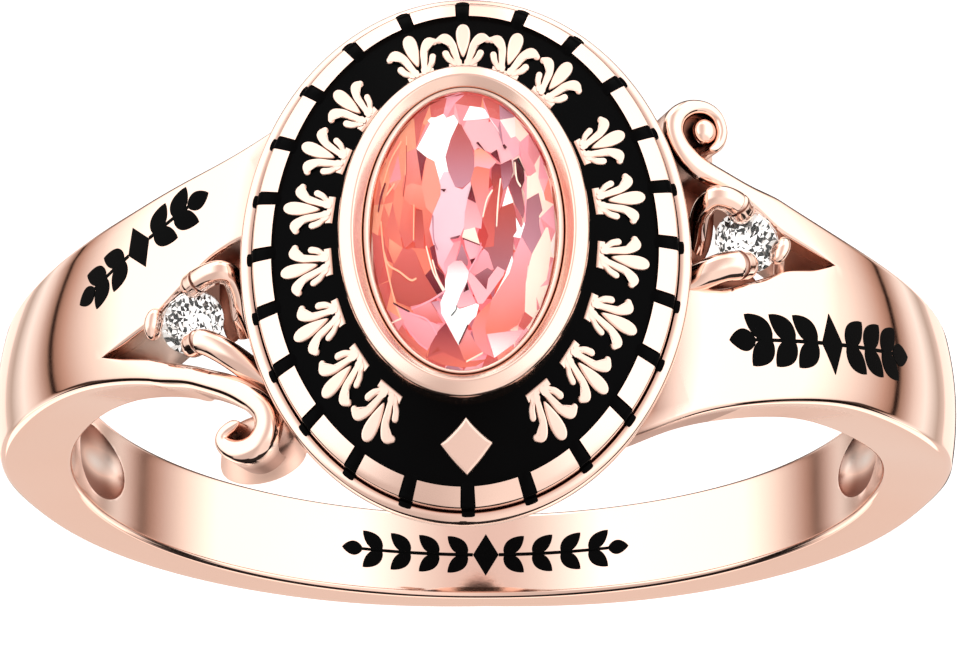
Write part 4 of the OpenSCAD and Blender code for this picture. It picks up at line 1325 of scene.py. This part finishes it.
class RING_OT_scrolls(bpy.types.Operator):
    """Solid foot under each scroll, and the ball in the right one"""
    bl_idname = "ring.scrolls"
    bl_label = "Scroll feet"

    def execute(self, context):
        t = rounds(96)
        # a foot's side as share of its reach, and radius from the ring's centre
        slope = [(0.0, 9.92), (0.2, 9.92), (0.4, 9.91), (0.55, 9.88), (0.64, 9.83), (0.71, 9.74), (0.76, 9.6),
                 (0.8, 9.4), (0.83, 9.15), (0.86, 8.9), (0.88, 8.75)] + [(u, BORE) for u in (0.88, 0.6, 0.3, 0.0)]
        for name, x, f, wide, long in (("scroll_foot_left", -4.02, 3.4, 1.0, 0.62),
                                       ("scroll_foot_right", 4.45, -3.12, 0.54, 0.6)):
            rows = [on_skin(x + wide * r * np.sin(t), f + long * r * np.cos(t), radius) for r, radius in slope]
            Shell().pill(np.stack(rows)).build(name, finish("metal"), "metal", satin=1.0, patina=foot_painted_shade)
        Shell().pill(ball(on_skin(4.72, -3.01, 10.08), (0.25, 0.27, 0.19), tilt=0.48)).build(
            "scroll_ball_right", finish("metal"), "metal")
        return {"FINISHED"}


class RING_OT_settings(bpy.types.Operator):
    """Claws and beads that hold the side stones"""
    bl_idname = "ring.settings"
    bl_label = "Claws"

    def execute(self, context):
        metal = finish("metal")
        half = context.scene.ring_sizes.claw / MM / 2
        for name, line in CLAWS.items():
            x, f, r = eased(line, 16).T
            path = on_skin(x, f, r - half)
            length = np.concatenate([[0], np.cumsum(np.linalg.norm(np.diff(path, axis=0), axis=1))])
            notch = 0.14 * bell(length - NOTCH_AT, 0.014)
            tip, root = CLAW_SWELL[name]
            swell = np.interp(length / length[-1], (0, 0.4, 1), (tip, (tip + root) / 2, root))
            at = np.array([np.interp(NOTCH_AT, length, c) for c in path.T])
            along = unit(path[8] - path[0])

            def groove(x, f, z):
                """Painted shade within the notch: a bell curve along the claw, centred on it."""
                away = np.stack([x, f, z], -1) - at
                return bell(away @ along, 0.02) * (np.linalg.norm(away, axis=-1) < 0.5)

            claw = bar(path, half * swell * (1 - notch), cols=32)
            Shell().tube(claw).build(name, metal, "metal", sharp=60, patina=groove)
        for name, (x, f, turn) in BEADS.items():
            bead = ball(on_skin(x, f, 10.5), (0.17, 0.33, 0.24), turn=turn, tilt=math.asin(x / 10.3))
            Shell().pill(bead).build(name, metal, "metal")
        for name, (x, f, wide, long) in GALLERIES.items():
            plate = ball(on_skin(x, f, 9.45), (wide, long, 0.15), tilt=math.asin(x / 9.45))
            # painted shade: the galleries are brown all over
            Shell().pill(plate).build(name, metal, "metal", patina=lambda x, f, z: np.full_like(x, BROWN), satin=1.0)
        for name, (x, f, turn) in BEADS.items():
            path = [on_skin(x, f + math.copysign(u, x), r) for u, r in ((0, 10.4), (0.12, 10.1), (0.5, 9.75))]
            root = bar(path, np.array([0.11, 0.11, 0.12]))
            Shell().tube(root).build(name + "_root", metal, "metal", satin=1.0, patina=band_painted_light)
        return {"FINISHED"}


class RING_OT_stones(bpy.types.Operator):
    """Oval centre stone and the two round side stones"""
    bl_idname = "ring.stones"
    bl_label = "Stones"

    def execute(self, context):
        flip = np.array([1, -1, 1])
        points, faces = cut_crown(*STONE_CROWN, 0.5, 0.6)
        Shell().add(points * flip + np.array([0, 0, GIRDLE]), faces).build(
            "centre_stone_crown", finish("pink_skin"), "centre_stone", sharp=None, replaces=("centre_stone",))
        points, faces, shades, edge = shards(*STONE_HEART, 0.6, 130, 11, pink_shade)
        self.closed("centre_stone_heart", points * flip + np.array([0, 0, HEART]), [f[::-1] for f in faces], shades,
                    "heart", "centre_stone", (0, 0, CULET), edge)
        cuts = []
        for tone, end, *line in GEM_FACETS:
            outline = np.reshape(line, (-1, 2)) / 100
            cuts.append((outline, graded(tone, end, outline)))
        for tone, width, *line in GEM_EDGES:
            outline = stroke(np.reshape(line, (-1, 2)) / 100, np.full(len(line) // 2, width / 100), 4)
            cuts.append((outline, graded(tone, tone, outline)))
        # the facets and edges go in as flashes: the stone's own colours with painted highlight and shade
        shell = Shell()
        for i, (outline, colours) in enumerate(cuts):
            n = len(outline)
            k = np.arange(n)
            face = np.column_stack([outline[:, 0] * STONE_FLASH[0], -(outline[:, 1] + 0.02) * STONE_FLASH[1],
                                    np.full(n, FLASH + FLASH_STEP * i)])
            sides = np.stack([k, (k + 1) % n, n + (k + 1) % n, n + k], -1)
            shell.add(np.vstack([face, face - np.array([0, 0, 0.02])]), [k[::-1], n + k, *sides],
                      [colours[::-1], colours] + [colours[0]] * n)
        shell.build("centre_stone_flashes", finish("heart"), "centre_stone", sharp=None)
        for side, (x, f) in SIDE_STONES.items():
            name = "side_stone_" + side
            lean = math.copysign(0.26, x)
            c, s = math.cos(lean), math.sin(lean)
            turn = np.array([[c, 0, s], [0, 1, 0], [-s, 0, c]]).T
            seat = on_skin(x, f, 10.25)
            points, faces = cut_crown(0.67, 0.67, 0.2, 0.56)
            Shell().add(points @ turn + seat, faces).build(
                name + "_crown", finish("clear_skin"), "side_stone", sharp=None, replaces=(name,))
            points, faces, shades, edge = shards(0.65, 0.65, 0.3, 420, 5 + len(side), clear_shade)
            self.closed(name + "_heart", (points - np.array([0, 0, 0.02])) @ turn + seat, faces, shades, "sparkle",
                        "side_stone", seat - np.array([x / 10, 0, 1]) * 0.5, edge)
        return {"FINISHED"}

    def closed(self, name, points, faces, shades, look, slot, foot, edge):
        """The faceted bowl, whose first edge points lie round it, with a plain cone under it down to the culet."""
        n = len(points)
        points = np.vstack([points, np.array(foot)])
        cone = [((i + 1) % edge, i, n) for i in range(edge)]
        area = sum(np.cross(points[f[1]] - points[f[0]], points[f[2]] - points[f[0]])[2] for f in faces)
        if area * np.cross(points[1] - points[0], points[n] - points[0])[2] > 0:
            cone = [f[::-1] for f in cone]
        shades = shades + [shades[i % 7] for i in range(edge)]
        Shell().add(points, faces + cone, shades).build(name, finish(look), slot, sharp=None)


class RING_OT_engraving(bpy.types.Operator):
    """Black filled sprigs engraved on the two shoulders and inside the band"""
    bl_idname = "ring.engraving"
    bl_label = "Engraving"

    def execute(self, context):
        size = context.scene.ring_sizes.engraving
        self.lay_on("engraving_right", self.sprig(3, 1.25 * size, 4.3, 0.19), 150.0, 120.5, 1.42, 0.43, 1)
        self.lay_on("engraving_left", self.sprig(2, 1.08 * size, 3.0, 0.2), 148.5, 131.6, 1.68, 0.32, -1)
        shell = Shell()
        for outline in self.sprig(4, 1.02 * size, 6.1, 0.17):
            x, y, rise = np.moveaxis(plaque(outline, -0.03, 0.012, 0.006), -1, 0)
            shell.pill(about(x / BORE, y, BORE - rise))
        shell.build("engraving_inside", finish("engraving"), "enamel", sharp=25)
        return {"FINISHED"}

    def sprig(self, pairs, height, length, leaf):
        """Outlines of a lozenge with leaf pairs on a thin stem running away from it both ways, length mm in all; leaf
        is half a leaf's width by the height."""
        h, run = height / 2, length / 2 - 0.38
        outlines = [closed_line([(-0.3, 0), (0, -h), (0.3, 0), (0, h)], 5)]
        for way in (-1, 1):
            ahead = 0 if way > 0 else 180
            for k in range(pairs):
                x = way * (0.42 + run * k / pairs)
                for side in (-1, 1):
                    turn = ahead + side * way * 42
                    outlines.append(leaf_outline((x, 0.02 * side), turn, height * 0.62, height * leaf))
            end = way * (0.42 + run * (pairs - 0.15) / pairs)
            outlines.append(leaf_outline((end - way * 0.1, 0), ahead, height * 0.5, height * leaf))
            outlines.append(closed_line([(way * 0.3, -0.04), (end, -0.035), (end, 0.035), (way * 0.3, 0.04)], 9))
        return outlines

    def lay_on(self, name, outlines, a0, a1, f0, f1, way):
        """Lays outlines on the broad arm, their middle line running from (a0, f0) to (a1, f1), on the right where way
        is 1, and turned half round to the left where it is -1."""
        shell = Shell()
        du, df = math.radians(a1 - a0) * SKIN, f1 - f0
        c, s = du / math.hypot(du, df), df / math.hypot(du, df)
        for outline in outlines:
            x, y, rise = np.moveaxis(plaque(outline, -0.05, 0.012, 0.006), -1, 0)
            a = (a0 + a1) / 2 + np.degrees((x * c - y * s) / SKIN)
            f = (f0 + f1) / 2 + x * s + y * c
            lo, hi = arm_edges(a, way)
            r = skin_radius(a * way, f * way, (2 * f - lo - hi) / (hi - lo)) + rise
            grid = about(np.radians(a), f, r)
            shell.pill(grid if way > 0 else half_turn(grid))
        shell.build(name, finish("engraving"), "enamel", sharp=25)


class RING_OT_stage(bpy.types.Operator):
    """Pale floor, soft studio light and the camera at the photograph's angle"""
    bl_idname = "ring.stage"
    bl_label = "Stage"

    def execute(self, context):
        scene = context.scene
        size = 1.5
        mesh = bpy.data.meshes.new("floor")
        mesh.from_pydata([(-size, -size, 0), (size, -size, 0), (size, size, 0), (-size, size, 0)], [], [(0, 1, 2, 3)])
        colour = tuple(scene.ring_colours.floor)
        shade = tuple(c * 0.985 for c in colour)
        mesh.materials.append(surface("pale_floor", {
            "Base Color": lambda paint: paint.blend(paint.noise(paint.place(), 20.0), colour, shade),
            "Roughness": 0.7, "Specular IOR Level": 0.0, "Emission Color": (0.95, 0.98, 1.0),
            "Emission Strength": 0.75}))
        floor = bpy.data.objects.new("floor", mesh)
        context.collection.objects.link(floor)
        floor.visible_glossy = False
        world = bpy.data.worlds.new("studio")
        world.use_nodes = True
        scene.world = world
        world_light(world)
        self.camera(context)
        scene.view_settings.view_transform = "Standard"
        return {"FINISHED"}

    def camera(self, context):
        """Camera fitted to the hole's rims and the ticks: raised 68.8 degrees from the finger's axis towards the head,
        turned 3.6 degrees and rolled 3.6 degrees, 100 mm away, with uc and vc mm from the ring's centre to the right
        and up to where it looks. The focus is in pixels of a picture 960 wide."""
        rise, yaw, roll, away, uc, vc, focus = 1.20113, 0.06315, 0.06287, 100.0, 0.18567, 1.96052, 4648.35729
        sensor, pixels = 36.0, 960
        ce, se, cy, sy = math.cos(rise), math.sin(rise), math.cos(yaw), math.sin(yaw)
        u = np.array([cy, -sy, 0.0])
        v = np.array([-se * sy, -se * cy, ce])
        q = np.array([ce * sy, ce * cy, se])
        side, up = math.cos(roll) * u - math.sin(roll) * v, math.sin(roll) * u + math.cos(roll) * v
        zero = lay(np.zeros(3))
        camera = bpy.data.objects.new("camera", bpy.data.cameras.new("camera"))
        context.collection.objects.link(camera)
        camera.data.sensor_width = sensor
        camera.data.lens = focus / pixels * sensor
        camera.data.clip_start, camera.data.clip_end = 0.005, 20
        matrix = np.eye(4)
        matrix[:3, :3] = np.stack([(lay(w) - zero) / MM for w in (side, up, q)], 1)
        matrix[:3, 3] = lay(uc * u + vc * v + away * q)
        camera.matrix_world = Matrix(matrix.tolist())
        context.scene.camera = camera


class RING_PT_panel(bpy.types.Panel):
    """Lists the ring's pieces and what may be changed"""
    bl_label = "Birthstone ring"
    bl_idname = "RING_PT_panel"
    bl_space_type = "VIEW_3D"
    bl_region_type = "UI"
    bl_category = "Ring"

    def draw(self, context):
        for group in (context.scene.ring_sizes, context.scene.ring_colours):
            for key in group.__annotations__:
                self.layout.prop(group, key)
        for step in STEPS:
            self.layout.operator(step.bl_idname)


STEPS = (RING_OT_shank, RING_OT_head, RING_OT_enamel, RING_OT_ornament, RING_OT_scrolls, RING_OT_settings,
         RING_OT_stones, RING_OT_engraving, RING_OT_stage)
CLASSES = (RingSizes, RingColours, *STEPS, RING_PT_panel)


def register():
    """Adds the classes, and the sizes and colours to the scene."""
    for cls in CLASSES:
        bpy.utils.register_class(cls)
    bpy.types.Scene.ring_sizes = bpy.props.PointerProperty(type=RingSizes)
    bpy.types.Scene.ring_colours = bpy.props.PointerProperty(type=RingColours)


def unregister():
    """Takes away what register() added."""
    del bpy.types.Scene.ring_colours
    del bpy.types.Scene.ring_sizes
    for cls in reversed(CLASSES):
        bpy.utils.unregister_class(cls)


def main():
    """Registers the add-on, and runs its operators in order."""
    register()
    for step in STEPS:
        group, name = step.bl_idname.split(".")
        getattr(getattr(bpy.ops, group), name)()


if __name__ == "__main__":
    main()
